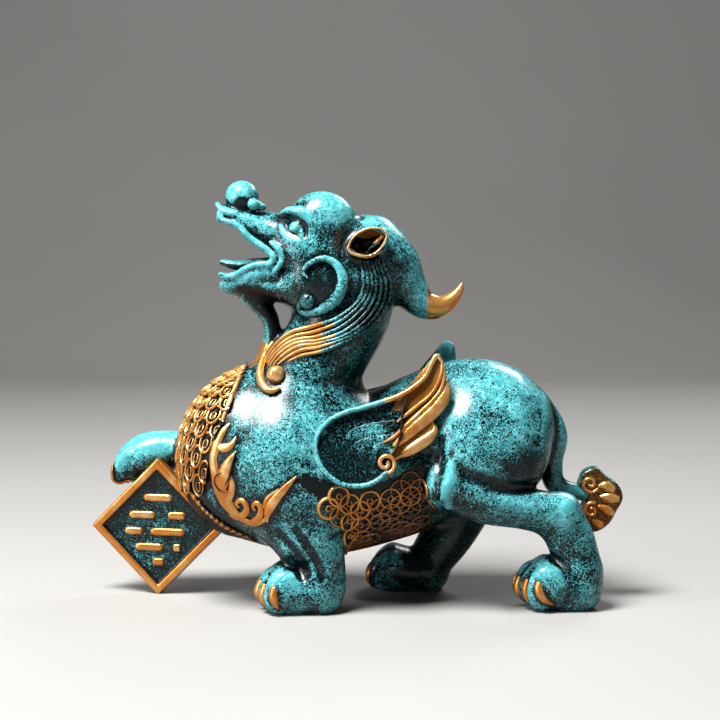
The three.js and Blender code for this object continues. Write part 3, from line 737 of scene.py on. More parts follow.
def hollows(points):
    """fold and mass, each 0 in a hollow and 1 on a crest, at points on the skin, and shelter: how
    much of the ball round a place above the skin is filled, with more on undersides and low down,
    beside the tail, behind the jaw, and on the inside of the far legs. The filled share is partly
    where sponged black stays and partly painted shade between parts; the undersides, the low parts,
    the spot beside the tail and the far legs' inner sides are painted shade."""
    out = outward(points)
    # Painted shade: the far legs' inner sides, undersides, low parts and the spot beside the tail.
    far_leg_inner_shade = between(-out[:, 1], 0.0, 0.6) * (points[:, 1] > 0) * (points[:, 2] < belly_height)
    shelter_and_shade = (between(sample(filled, points + above_skin * out), 0.22, 0.5)
               + 0.7 * between(-out[:, 2], -0.4, 0.9)
               + 0.15 * between(-points[:, 2], -75, -15)
               + 0.7 * spot(points, 66, 58, 8, 9)
               + 0.45 * spot(points, -19, 129, 12, 11)
               + 0.8 * far_leg_inner_shade)
    return (between(sample(fine, points), -0.42, 0.30), between(sample(broad, points), -0.6, 0.9),
            np.clip(shelter_and_shade, 0, 1))


# %% [markdown]
# ## Making a piece
# Each piece is one mesh: points and faces from any number of surfaces, brought from drawing
# millimetres to the frame's metres, shaded smooth, riding on the casting's body.

# %% Piece from surfaces
def piece(name, surfaces, paint):
    """A mesh object from surfaces (points, faces, values), the faces' numbers shifted as the points
    are stacked. values names an attribute and gives one number, or one for each point."""
    offsets = np.cumsum([0] + [len(s[0]) for s in surfaces[:-1]])
    points = np.vstack([s[0] for s in surfaces])
    corners = np.concatenate([(s[1] + o).ravel() for s, o in zip(surfaces, offsets)])
    counts = np.concatenate([np.full(len(s[1]), s[1].shape[1]) for s in surfaces])
    mesh = bpy.data.meshes.new(name)
    mesh.vertices.add(len(points))
    mesh.vertices.foreach_set("co", ((points + shift) / 1000).astype(np.float32).ravel())
    mesh.loops.add(len(corners))
    mesh.loops.foreach_set("vertex_index", corners.astype(np.int32))
    mesh.polygons.add(len(counts))
    mesh.polygons.foreach_set("loop_start", np.concatenate([[0], np.cumsum(counts)[:-1]]).astype(np.int32))
    mesh.update(calc_edges=True)
    mesh.validate()
    mesh.shade_smooth()
    for key in surfaces[0][2]:
        values = [np.broadcast_to(s[2].get(key, 0.0), len(s[0])) for s in surfaces]
        write_attribute(mesh, key, np.concatenate(values))
    write_attribute(mesh, "shelter_and_shade", hollows(points)[2])
    mesh.materials.append(paint)
    made = bpy.data.objects.new(name, mesh)
    bpy.context.collection.objects.link(made)
    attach(made, "root")
    print(f"{name}: {len(points)} points, {int((counts - 2).sum())} triangles")
    return made


def write_attribute(mesh, name, values):
    """One value for each point of the mesh, in a new attribute or over the old one."""
    held = mesh.attributes.get(name) or mesh.attributes.new(name, "FLOAT", "POINT")
    held.data.foreach_set("value", values.astype(np.float32))


# %% The skin, thinned
skin_limit = 196000
skin = piece("skin", [(np.asarray(skin_points, float), np.asarray(skin_quads)[:, ::-1], {})], teal)
triangles = 2 * len(skin_quads)
if triangles > skin_limit:
    thin = skin.modifiers.new("thin", "DECIMATE")
    thin.ratio = skin_limit / triangles
    whole = skin.evaluated_get(bpy.context.evaluated_depsgraph_get())
    skin.data = bpy.data.meshes.new_from_object(whole)
    skin.modifiers.clear()
    skin.data.shade_smooth()
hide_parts("pixiu_figure")
print("skin kept:", len(skin.data.polygons), "faces")


# %% The back edge of the chest net
def net_edge(z):
    """How far back the chest net reaches at height z: the line of the border and the flames."""
    return np.interp(z, [29, 46, 49, 57, 63, 72.4, 77.7, 90.7, 98.4],
                     [-46, -64.7, -62.2, -60.8, -60.3, -57.6, -53.6, -49.3, -46.6])


def off_barrel(points):
    """How far points lie from the bare barrel, before legs and neck were pressed on it. The nets
    keep to where that is little, and so stay off the legs."""
    return np.abs(sample(bare_barrel, points))


chest_fillet, belly_fillet = 5.5, 3.5
net_top = 98.4


# %% Where the skin is hollow, gilded, inked and painted with shade
def points_of(made):
    """A piece's points, brought back to drawing millimetres."""
    co = np.empty(len(made.data.vertices) * 3, np.float32)
    made.data.vertices.foreach_get("co", co)
    return co.reshape(-1, 3).astype(float) * 1000 - shift


at = points_of(skin)
x, z = at[:, 0], at[:, 2]
side_out = np.abs(at[:, 1])
facing = outward(at)
skin_fold, mass, shelter_and_shade = hollows(at)

horn_tip = between(x, 23, 34) * (z > 108) * (x > 18)
beard_tip = between(-z, -112, -103) * (side_out < 6) * between(-x, 36.2, 38) * between(z, 95.4, 97)
ear_middle = np.array([4.2, 148.4])
ear_wide = np.interp(side_out, [14.6, 18, 23.4], [2.6, 6.0, 7.7]) + 0.7
turned_in = (facing[:, [0, 2]] * (ear_middle - at[:, [0, 2]])).sum(1) > -0.5
in_ear = ((np.hypot(x - ear_middle[0], (z - ear_middle[1]) * 1.45) < ear_wide)
          & (side_out < 22.6) & (side_out > 14.4) & turned_in)
ear_brown = in_ear * between(0.4 * (x - 4) + (z - 148.8), -0.5, 1.5)
gilt = np.clip(horn_tip + beard_tip + 0.8 * ear_brown, 0, 1)

chest_ground = ((off_barrel(at) < chest_fillet) & (z < net_top)
                & (x < net_edge(z) + 3 * between(-z, -66, -56)))
belly_top = np.interp(x, [-24, -20, -8, 6, 20, 28], [57, 57, 53, 52, 57, 59])
belly_ground = (off_barrel(at) < belly_fillet) & (x > -24 + 0.3 * (54 - z)) & (x < 30) & (z < belly_top)
# Painted shade: the mouth's inside where it doesn't face up, the jaw's underside where it turns away from the
# front, the lower half of the nose ball, and the hollows at the neck's base and beside the rump.
mouth_shade = (x < -34) & (x > -57) & (side_out < 8.4) & (z > 134.8) & (z < 158) & (facing[:, 2] < 0.7)
under_jaw_shade = ((x < -33) & (z > 96) & (side_out < 12)) * between(x, -55, -48)
under_jaw_shade = under_jaw_shade * between(-z, -135, -130) * between(facing[:, 0], -0.98, -0.3)
on_nose = np.linalg.norm(at - (-47.8, 0, 167), axis=1) < 8.6
nose_ball_shade = on_nose * between(-np.hypot(x + 47.4, z - 163.6), -5.6, -3.2)
neck_hollow_shade = spot(at, 4, 87, 6, 5)
rump_hollow_shade = spot(at, 69, 57, 4.5, 11) * (side_out > 8)
in_scroll = between(-np.hypot((x + 14) / 7, (z - 131) / 9), -1.15, -0.8) * (side_out > 10)
# The ink value: black ground under the nets, the painted shade above, and darker paint inside the cheek
# scroll and the ear.
ink = np.max([0.90 * (chest_ground | belly_ground), 0.58 * mouth_shade, 0.62 * under_jaw_shade * (1 - beard_tip),
              0.60 * nose_ball_shade, 0.50 * neck_hollow_shade, 0.62 * rump_hollow_shade, 0.47 * in_scroll,
              0.90 * in_ear * (1 - ear_brown)], axis=0)
# Fewer black specks on the top of the raised paw: partly polish, partly a painted highlight.
raised_paw = (x < -66) & (z > 52) & (z < 80) & (at[:, 1] > 0)
skin_fold = skin_fold + 0.55 * raised_paw * between(facing[:, 2], -0.3, 0.5)
for key, values in {"fold": skin_fold, "mass": mass, "shelter_and_shade": shelter_and_shade, "gilt": gilt, "ink": ink}.items():
    write_attribute(skin.data, key, values)
print("inked:", int((ink > 0.5).sum()), "points of", len(at))

# %% [markdown]
# ## Carving as beads
# Most of the carving is a cord or a leaf of clay laid on the skin: a centre line, a width and a
# height that change along it, and a rounded section. A curve with a bevel would stand off the skin
# or sink into it. Here each centre line is dropped onto the skin first, and the section is set up
# from the skin's own outward direction, so it lies down everywhere.

# %% Beads
def moulding(path, out, half_wide, half_high, sides=12, square=1.0, loop=False):
    """A grid (..., points along, sides, 3): path plus across times half width times cosine plus out
    times half height times sine. across is square to the path and to out. Also the fold values:
    nought at the foot and rising with the sine to 1 on top."""
    if loop:
        along = unit(np.roll(path, -1, -2) - np.roll(path, 1, -2))
    else:
        along = unit(np.gradient(path, axis=-2))
    across = unit(np.cross(out, along))
    out = unit(np.cross(along, across))
    cos, sin = oval(round_angles(sides)[:, None], square)
    wide = np.broadcast_to(half_wide, path.shape[:-1])[..., None, None]
    high = np.broadcast_to(half_high, path.shape[:-1])[..., None, None]
    grid = path[..., None, :] + across[..., None, :] * wide * cos + out[..., None, :] * high * sin
    return grid, np.broadcast_to(np.clip(sin[:, 0], 0, 1), grid.shape[:-1])


def bead(grid, fold, loop=False, **values):
    """A surface from one grid or a stack of them. Rows wrap where loop is true; otherwise each end
    ring closes on its middle."""
    n, s = grid.shape[-3:-1]
    grids, folds = grid.reshape(-1, n, s, 3), fold.reshape(-1, n * s)
    i = np.arange(n * s).reshape(n, s)
    a, d = (i, np.roll(i, -1, 0)) if loop else (i[:-1], i[1:])
    b, c = np.roll(a, -1, 1), np.roll(d, -1, 1)
    cells = np.stack([a, b, c, d], -1).reshape(-1, 4)
    faces = np.concatenate([cells[:, [0, 1, 2]], cells[:, [0, 2, 3]]])
    points = grids.reshape(-1, n * s, 3)
    if not loop:
        ends = [np.stack([np.full(s, n * s), np.roll(i[0], -1), i[0]], -1),
                np.stack([np.full(s, n * s + 1), i[-1], np.roll(i[-1], -1)], -1)]
        faces = np.vstack([faces, *ends])
        points = np.concatenate([points, grids[:, :1].mean(2), grids[:, -1:].mean(2)], 1)
        folds = np.concatenate([folds, folds[:, :2] * 0 + 0.5], 1)
    count, size = points.shape[:2]
    faces = (faces[None] + size * np.arange(count)[:, None, None]).reshape(-1, 3)
    given = {"fold": folds.ravel(), "mass": 0.5, "gilt": 0.0, "ink": 0.0, **values}
    return points.reshape(-1, 3), faces, given


def drawn(points, rows):
    """Evenly spaced smooth rows through a few drawn points, any number of columns."""
    return through(points, np.linspace(0, 1, rows))


def side_carving(line, rows=40, lift=0.0):
    """A line drawn in side view as (x, z, half width, half height), dropped onto the near flank:
    its path, outward directions, half widths and half heights."""
    d = drawn(line, rows)
    path, found = held_down(from_near_side(d[:, 0], d[:, 1]), (0, 1, 0), lift)
    return path, outward(path), d[found, 2], d[found, 3]


def both_flanks(surface):
    """The surface and its mirror image across the middle plane, whose faces are turned back."""
    points, faces, values = surface
    return [surface, (points * (1, -1, 1), faces[:, ::-1], values)]


# %% [markdown]
# ## Flames, chest border and chain
# Gold flames climb the shoulder behind the chest net. Each tongue is a leaf that swells and runs out
# to a point; together they make the flickering edge. Two black cuts are drawn over them as thin
# beads with no gold on top. The net's border is a plain cord, and the chain below it is two cords
# that swell and shrink into knots. All are the same on the hidden flank.

# %% Flames
flame_lines = [
    [(-50.9, 76.6, 0.3), (-53.8, 73.2, 1.4), (-55.6, 70.0, 1.9), (-56.8, 66.2, 2.1), (-57.6, 62.0, 1.8),
     (-57.1, 57.5, 2.1), (-56.0, 53.5, 2.7), (-54.4, 48.6, 3.2), (-52.4, 44.4, 3.0), (-49.6, 40.7, 2.6),
     (-45.9, 38.0, 2.0), (-42.3, 36.6, 1.4)],
    [(-55.8, 67.2, 1.4), (-53.0, 66.8, 1.9), (-50.6, 67.8, 1.5), (-48.4, 71.4, 0.3)],
    [(-54.6, 50.4, 2.4), (-53.6, 54.4, 2.9), (-52.6, 58.2, 2.6), (-51.0, 61.6, 1.9), (-48.3, 65.8, 0.3)],
    [(-50.8, 56.4, 0.4), (-50.0, 53.0, 1.3), (-50.3, 49.6, 1.6), (-51.6, 46.0, 1.6)],
    [(-51.4, 39.8, 1.4), (-48.6, 38.6, 1.7), (-45.5, 39.9, 1.7), (-44.1, 42.4, 1.5), (-44.9, 45.0, 1.3),
     (-47.0, 46.0, 1.1), (-48.5, 44.4, 0.9), (-47.4, 42.8, 0.7)],
    [(-45.0, 36.2, 1.2), (-41.0, 37.6, 1.6), (-38.5, 41.0, 1.5), (-38.7, 44.2, 1.2), (-40.4, 45.4, 1.0),
     (-41.6, 43.8, 0.8), (-40.6, 42.2, 0.6)],
    [(-42.4, 36.0, 1.0), (-39.4, 37.0, 1.0), (-36.6, 39.0, 1.0)],
    [(-35.9, 37.6, 0.3), (-35.8, 40.9, 1.4), (-34.7, 44.0, 2.1), (-32.0, 48.0, 1.9), (-28.5, 52.0, 1.4),
     (-24.2, 56.6, 0.25)],
    [(-37.2, 43.6, 0.6), (-35.9, 47.4, 0.8), (-31.4, 51.4, 0.25)],
]
flames = []
for line in flame_lines:
    line = [(x, z, wide, min(1.3, 0.35 + wide * 0.55)) for x, z, wide in line]
    grid, fold = moulding(*side_carving(line, 44), sides=16, square=0.75)
    flames += both_flanks(bead(grid, between(fold, 0, 0.55)))
cuts = [[(-53.9, 57.2, 0.3, 1.7), (-56.0, 56.0, 0.45, 1.75), (-56.7, 53.2, 0.45, 1.75),
         (-55.1, 50.4, 0.45, 1.75), (-52.6, 49.2, 0.3, 1.6)],
        [(-48.4, 65.4, 0.25, 0.9), (-49.7, 60.2, 0.45, 1.5), (-50.9, 55.6, 0.45, 1.75),
         (-52.4, 52.4, 0.3, 1.6)]]
for line in cuts:
    grid, fold = moulding(*side_carving(line, 30), sides=10)
    flames += both_flanks(bead(grid, 0 * fold))
piece("flames", flames, gold)

# %% Border of the chest net and the chain under it
border = [(-46.2, 99.0, 1.1, 1.1), (-49.3, 90.7, 1.1, 1.2), (-51.9, 83.8, 1.1, 1.2), (-54.2, 77.4, 0.9, 1.0)]
chain = [(-70.6, 51.0, 0.9, 1.3), (-63.9, 43.0, 0.9, 1.3), (-58.3, 37.6, 0.9, 1.3), (-51.4, 32.6, 0.9, 1.2),
         (-43.0, 28.2, 0.5, 0.8)]
lower_chain = [(x + 1.3, z - 1.9, wide * 0.7, high * 0.8) for x, z, wide, high in chain]
knot_count = 13
edging = []
for line, knots in ((border, 0.0), (chain, 0.3), (lower_chain, 0.25)):
    path, out, wide, high = side_carving(line, 110)
    knot = 1 + knots * np.sin(np.linspace(0, knot_count * 2 * np.pi, len(path)))
    grid, fold = moulding(path, out, wide * knot, high * knot, sides=12)
    edging += both_flanks(bead(grid, fold * np.clip(knot, 0, 1)[:, None] ** 2))
piece("chest_border", edging, gold)

# %% [markdown]
# ## Coin nets
# The chest and the belly wear nets of coins over a black ground. A texture could draw them, but they
# stand up and catch the light. On the belly each coin is a wire: a centre on the skin, an oval in the
# skin's own plane there, dropped onto the skin. On the chest they overlap like scales, so each is an
# oval plate that leans out at its lower end, with a raised rim and a ring round its hole. Everything
# in a net is worked out as one array.

# %% Loops laid on the skin
above_loops = 4


def own_plane(centres):
    """The skin's own directions at each centre: straight out, level, and up along the skin."""
    out = outward(centres)
    level = unit(np.cross(out, [0.0, 0.0, 1.0]))
    return out, level, np.cross(level, out)


def loops_on_skin(centres, radius, count, corner=1.0):
    """For each centre on the skin: centre plus radius times level direction times cosine plus upward
    direction times sine, then dropped onto the skin."""
    out, level, up = (v[:, None] for v in own_plane(centres))
    cos, sin = oval(round_angles(count)[None, :, None], corner)
    flat = centres[:, None] + radius * (level * cos + up * sin)
    return dropped(flat + above_loops * out, -out)


def wires(path, half_wide, half_high):
    """Loops as four-sided wires, half_wide across the skin and half_high out of it. The fold value
    starts at 0.35 at the foot, so that a wire's sides still show some gold."""
    grid, fold = moulding(path, outward(path), half_wide, half_high, sides=4, loop=True)
    return bead(grid, 0.35 + 0.65 * between(fold, 0.0, 0.45), loop=True, gilt=1.0)


# %% Scales of the chest net
scale_lean, scale_lift = 0.14, 0.6
rim_share = np.array([0.03, 0.74, 0.79, 0.86, 0.95, 1.0])[:, None]
rim_lift = np.array([-0.3, -0.3, 0.35, 0.6, 0.35, -1.6])[:, None]
rim_fold = np.array([0.0, 0.0, 0.7, 1.0, 0.6, 0.0])[:, None]


def on_scale(centres, across, up_by, lift):
    """Points across and up in each scale's own plane, which leans out at its lower end, because one
    scale lies over the next. lift counts from that plane."""
    out, level, up = (v[:, None, None] for v in own_plane(centres))
    across, up_by, lift = np.broadcast_arrays(across, up_by, lift)
    rise = (lift + scale_lift - scale_lean * up_by)[..., None]
    return (centres[:, None, None] + level * across[..., None] + up * up_by[..., None]
            + out * rise)


def scales(centres, half_across, half_up, count=14):
    """One oval plate per centre: a black field, a raised gold rim, and an edge that runs down to
    the skin. Rings of points from the middle outwards."""
    angle = round_angles(count)
    across = half_across[:, None, None] * rim_share * np.cos(angle)
    up_by = half_up[:, None, None] * rim_share * np.sin(angle)
    grid = on_scale(centres, across, up_by, rim_lift + 0 * across)
    return bead(grid, np.broadcast_to(rim_fold, grid.shape[:-1]))


def ring_on_scale(centres, half_across, half_up, slide, corner, count=10):
    """A gold ring in each scale's field, oval or nearly square, moved up by slide. half_up has one
    value for each centre."""
    section = round_angles(4)
    wide, high = 0.22, 0.45
    cos, sin = oval(round_angles(count)[:, None], corner)
    across = (half_across + wide * np.cos(section)) * cos + 0 * half_up[:, None, None]
    up_by = (half_up[:, None, None] + wide * np.cos(section)) * sin + slide
    grid = on_scale(centres, across, up_by, high * np.sin(section) + 0 * across)
    fold = np.broadcast_to(np.clip(np.sin(section), 0, 1), grid.shape[:-1])
    return bead(grid, fold, loop=True)


# %% Chest net
chest_step = 13.4
chest_middle, chest_reach = 60, 38
turn, rise = np.meshgrid(np.radians(np.arange(-87.1, 88, chest_step)),
                         chest_middle + chest_reach * np.sin(np.radians(np.arange(-40, 84, 8.8))))
row = np.arange(rise.shape[0])[:, None]
turn = turn + np.radians(chest_step / 2) * (row % 2)
axis = np.stack([-36 + 0 * turn, 0 * turn, rise], -1).reshape(-1, 3)
ray = np.stack([-np.cos(turn), np.sin(turn), 0 * turn], -1).reshape(-1, 3)
centres = dropped(axis + 70 * ray, -ray)
lowest = np.interp(centres[:, 0], [-80, -70, -60, -46], [52, 50, 44, 36])
keep = ((centres[:, 0] < net_edge(centres[:, 2]) + 1.2) & (centres[:, 2] > lowest)
        & (off_barrel(centres) < chest_fillet))
centres = centres[keep]
long = between(-centres[:, 2], -72, -60)
net = [scales(centres, 3.6 - 0.3 * long, 4.8 + 0.4 * long),
       ring_on_scale(centres, 1.15, 1.6 + 0.3 * long, -0.6, 0.55)]
for points, _, _ in net:
    points[:, 0] = np.minimum(points[:, 0], net_edge(points[:, 2]) + 0.5)
piece("chest_net", net, gold)
print("coins on the chest:", len(centres))

# %% Belly net
belly_step, coin_radius = 12.5, 4.1
belly_middle = 57
around, along_x = np.meshgrid(np.radians(np.arange(-87.5, 88, belly_step)),
                              np.arange(-24.0, 29, coin_radius))
row = np.arange(along_x.shape[0])[:, None]
around = around + np.radians(belly_step / 2) * (row % 2)
axis = np.stack([along_x, 0 * around, belly_middle + 0 * around], -1).reshape(-1, 3)
ray = np.stack([0 * around, np.sin(around), -np.cos(around)], -1).reshape(-1, 3)
centres = dropped(axis + 60 * ray, -ray)
top = np.interp(centres[:, 0], [-24, -20, -8, 6, 20, 28], [53, 53, 49, 48, 53, 55])
leg_edge = -19.0 + 0.3 * (54 - centres[:, 2])
keep = ((off_barrel(centres) < belly_fillet) & (centres[:, 2] < top) & (centres[:, 0] > leg_edge)
        & (centres[:, 0] < 27))
centres = centres[keep]
# Brighter gold and thicker wires to the left: partly wear, partly painted light where the lamp falls; times a
# random tone for each coin.
left_light_and_wear = 1 - 0.38 * between(centres[:, 0] - 0.5 * centres[:, 2], -42, 2)
left_light_and_wear = left_light_and_wear * np.random.default_rng(7).uniform(0.62, 1.08, len(left_light_and_wear))
rings = wires(loops_on_skin(centres, coin_radius, 22), 0.35 + 0.5 * left_light_and_wear[:, None], 1.1)
holes = wires(loops_on_skin(centres, 1.1, 8, corner=0.8), 0.4, 0.9)
for made in (rings, holes):
    made[2]["fold"] = made[2]["fold"] * np.repeat(left_light_and_wear, len(made[0]) // len(centres))
belly_net = piece("belly_net", [rings, holes], gold)
write_attribute(belly_net.data, "shelter_and_shade", 0.7 * hollows(points_of(belly_net))[2])
print("coins on the belly:", len(centres))

# %% [markdown]
# ## Mane and cheek scrolls
# The mane falls from behind the ear and sweeps forward to gilded tips that curl round a ball. Hair
# in clay is locks, not threads: a few long cords side by side, thick in the middle, thin at both
# ends. The cheek scroll is one cord curled into a C that ends in a ball.

# %% Mane
mane_inner = [(0.6, 18.2, 141.8), (1.2, 18.4, 132.0), (-1.2, 19.0, 125.0), (-9.0, 19.6, 118.2),
              (-18.0, 19.4, 115.2), (-28.0, 17.6, 112.4), (-36.5, 12.6, 103.0), (-39.2, 10.5, 92.5)]
mane_outer = [(9.8, 16.5, 142.0), (13.2, 15.4, 131.5), (8.6, 17.4, 118.5), (-1.4, 18.8, 109.8),
              (-13.9, 19.0, 103.8), (-23.4, 18.4, 101.6), (-30.8, 16.5, 97.6), (-35.4, 13.5, 91.6)]
lock_count, rows, lock_sides = 7, 80, 16
t = np.linspace(0, 1, rows)
inner_edge, outer_edge = through(mane_inner, t), through(mane_outer, t)
share = (np.arange(lock_count) + 0.5)[:, None, None] / lock_count
locks = inner_edge + (outer_edge - inner_edge) * share
wave = np.sin(t * 9 + share[:, :, 0] * 7)[..., None] * 0.5
locks = locks + unit(outer_edge - inner_edge) * wave * np.sin(np.pi * t)[:, None]
gap = np.linalg.norm(outer_edge - inner_edge, axis=-1) / lock_count
near = locks * (1, -1, 1)
on_skin = dropped(near * (1, 0, 1) - (0, beside, 0), (0, 1, 0))
met = (np.abs(sample(clay, on_skin)) < on_skin_within) * (1 - between(t, 0.5, 0.68))
near[..., 1] += (on_skin[..., 1] - 0.9 - near[..., 1]) * met
swell = 0.5 + 0.5 * np.sin(np.pi * np.clip(t * 1.05 + 0.08, 0, 1))
out = unit(outward(near) + (-0.15, -0.6, 0.0))
grid, fold = moulding(near, out, 0.60 * gap, 3.0 * swell, sides=lock_sides, square=0.9)
ragged = 0.03 * np.sin(23 * share[:, :, 0])
gold_from = 0.36 + 0.09 * share[:, :, 0] + ragged
mane_gilt = between(t[None], gold_from - 0.04, gold_from + 0.26)
lock_fold = between(fold, 0.15, 0.85) * (0.62 + 0.38 * mane_gilt[..., None])
mane_surface = bead(grid, lock_fold, mass=0.4)
mane_surface[2]["gilt"] = np.concatenate([np.repeat(mane_gilt, lock_sides, axis=1),
                                          mane_gilt[:, [0, -1]]], 1).ravel()
hook = [(-33.6, 107.0, 0.9, 1.4), (-36.8, 101.5, 1.4, 2.1), (-39.0, 94.6, 1.8, 2.4),
        (-37.6, 90.2, 1.8, 2.3), (-34.2, 88.4, 1.3, 1.8), (-30.8, 89.6, 0.4, 0.9)]
grid, fold = moulding(*side_carving(hook, 50, lift=1.0), sides=16)
hook_surface = bead(grid, between(fold, 0, 0.5), gilt=1.0)
ball_place = held_down(from_near_side([-32.6], [94.8]), (0, 1, 0), lift=1.4)[0][0]
ball_points, ball_faces = closed(lump(*ball_place, 3.7, 3.2, 3.7))
ball_fold = between(-ball_points[:, 1], -ball_place[1] - 1, -ball_place[1] + 2)
ball_surface = (ball_points, ball_faces, {"fold": ball_fold, "mass": 0.8, "gilt": 1.0, "ink": 0.0})
mane = [s for surface in (mane_surface, hook_surface, ball_surface) for s in both_flanks(surface)]
piece("mane", mane, teal)

# %% Cheek scrolls
scroll = [(-19.8, 134.2, 0.5, 0.9), (-21.6, 136.4, 0.9, 1.3), (-19.4, 139.8, 1.2, 1.7),
          (-14.0, 142.0, 1.5, 2.0), (-9.0, 139.3, 1.9, 2.4), (-6.2, 133.9, 2.5, 2.8),
          (-7.6, 128.5, 2.8, 3.0), (-11.0, 124.0, 2.6, 2.9), (-15.5, 121.2, 2.1, 2.5),
          (-20.0, 120.4, 1.7, 2.2), (-22.9, 122.6, 1.4, 1.9), (-22.6, 125.4, 1.1, 1.6)]
grid, fold = moulding(*side_carving(scroll, 90, lift=0.6), sides=18, square=0.9)
scrolls = both_flanks(bead(grid, 1.05 * between(fold, 0.05, 0.9)))
eye_of_scroll = dropped(from_near_side([-20.1], [125.4]), (0, 1, 0), 0.8)[0]
points, faces = closed(lump(*eye_of_scroll, 3.3, 3.0, 3.3))
eye_fold = between(-points[:, 1], -eye_of_scroll[1] - 0.5, -eye_of_scroll[1] + 2)
scrolls += both_flanks((points, faces, {"fold": eye_fold, "mass": 0.8}))
piece("cheek_scrolls", scrolls, teal)

# %% [markdown]
# ## Wings
# A wing is a thick shell on the flank: a rim round a shallow dish at the front, and long feathers
# that sweep back over each other to points. It leans in at the top. Every line is drawn flat in
# side view and stood on the leaning face; the far wing sits a little further back and higher.

# %% Beads on the wing's face
def wing_bead(line, far, rows=60, sides=14, square=0.9, **values):
    """A bead on the wing's face from (x, z, half width, half height, lift)."""
    d = drawn(line, rows)
    path = on_wing(d[:, :2], d[:, 4], far)
    out = np.broadcast_to((0, 1 if far else -1, 0.22), path.shape)
    grid, fold = moulding(path, unit(out), d[:, 2], d[:, 3], sides=sides, square=square)
    return bead(grid, between(fold, 0.0, 0.75), **values)


# %% Wing shell, rim and feathers
wing_outline = [(-17.7, 67.3), (-16.4, 72.8), (-11.8, 78.4), (-5.6, 81.5), (2.4, 83.7), (9.8, 85.9),
                (15.9, 88), (22.1, 91.4), (27, 95.7), (29.5, 101.3), (31.6, 103.6), (33.9, 101.6),
                (34.6, 96), (35.6, 91), (34.6, 84.6), (30.4, 78.6), (30.6, 74.4), (28.4, 69.6),
                (21, 65), (15, 62), (13, 58.4), (7.4, 53.6), (1.8, 51.7), (-5.6, 52),
                (-11.8, 55.4), (-16.1, 61), (-17.7, 67.3)]
rim_line = [(33.6, 100.6), (31.6, 103.2), (29.6, 100.4), (27, 95.2), (22.1, 90.8), (15.9, 87.3),
            (9.8, 85.2), (2.4, 83), (-5.6, 80.8), (-11.6, 77.6), (-15.8, 72.6), (-17, 67.3),
            (-15.4, 61.2), (-11.4, 56.2), (-5.4, 52.9), (1.8, 52.5), (7.2, 54.3), (12, 58.2)]


def spiral(centre, start, turns, radius, end_radius, count=12):
    """Points whose angle grows steadily while the radius shrinks from radius to end_radius."""
    s = np.linspace(0, 1, count)
    angle = np.radians(start) + s * turns * 2 * np.pi
    r = radius + (end_radius - radius) * s
    return np.stack([centre[0] + r * np.cos(angle), centre[1] + r * np.sin(angle)], -1)


far_tip = [(28.4, 100.6), (30.8, 104.8), (34.4, 103.4), (35.6, 97.4)]
quills = [
    [(33.6, 101.4, 0.5, 0.8, -0.6), (33.4, 97, 0.8, 1.2, -0.3), (31.8, 92.2, 0.9, 1.5, -0.2),
     (28.8, 87.8, 0.9, 1.6, -0.2), (24.2, 84.0, 0.9, 1.5, -0.3), (19.6, 80.4, 0.8, 1.3, -0.6),
     (15.6, 77.2, 0.5, 0.9, -1.0)],
    [(34.2, 99.2, 0.5, 0.8, -0.8), (34.4, 95, 0.9, 1.3, -0.7), (33.2, 90.4, 1.0, 1.5, -0.6),
     (29.8, 85.6, 1.1, 1.6, -0.5), (25.2, 81.2, 1.2, 1.6, -0.6), (20.4, 76.8, 1.2, 1.5, -0.7),
     (14.6, 71.6, 0.9, 1.2, -1.1), (10.0, 69.0, 0.4, 0.7, -1.5)]]
feathers = [
    [(35.0, 93.8, 0.6, 0.8, -1.4), (35.2, 89.4, 2.0, 1.6, -1.4), (33.2, 85.0, 2.9, 2.0, -1.3),
     (28.4, 79.8, 3.0, 2.1, -1.3), (23.0, 75.4, 2.7, 2.0, -1.3), (18.2, 71.2, 2.2, 1.7, -1.4),
     (14.4, 67.6, 1.2, 1.2, -1.6)],
    [(30.6, 76.6, 0.5, 0.7, -2.2), (30.4, 73.6, 1.6, 1.5, -2.2), (27.8, 70.6, 2.5, 1.9, -2.2),
     (23.6, 67.8, 2.6, 1.8, -2.1), (19.4, 65.4, 2.0, 1.5, -2.1), (16.2, 63.8, 0.8, 0.9, -2.1)]]
black_line = [(19.6, 87.2, 0.25, 0.6, -0.4), (17.8, 81.5, 0.4, 1.3, -0.2), (17.0, 73.5, 0.45, 1.5, 0.2),
              (15.4, 67.3, 0.45, 1.3, 0.0), (13.4, 64.4, 0.3, 0.9, -0.8)]
coverts = [
    [(15.4, 76.6, 1.6, 0.40, -1.5), (8, 74.6, 2.8, 0.36, -1.7), (0, 72.8, 2.6, 0.32, -1.8),
     (-8, 69.0, 1.2, 0.25, -1.9)],
    [(14.6, 70.8, 1.6, 0.40, -1.6), (8, 69.4, 2.8, 0.36, -1.7), (1, 67.6, 2.6, 0.32, -1.8),
     (-6, 64.0, 1.2, 0.25, -1.9)]]


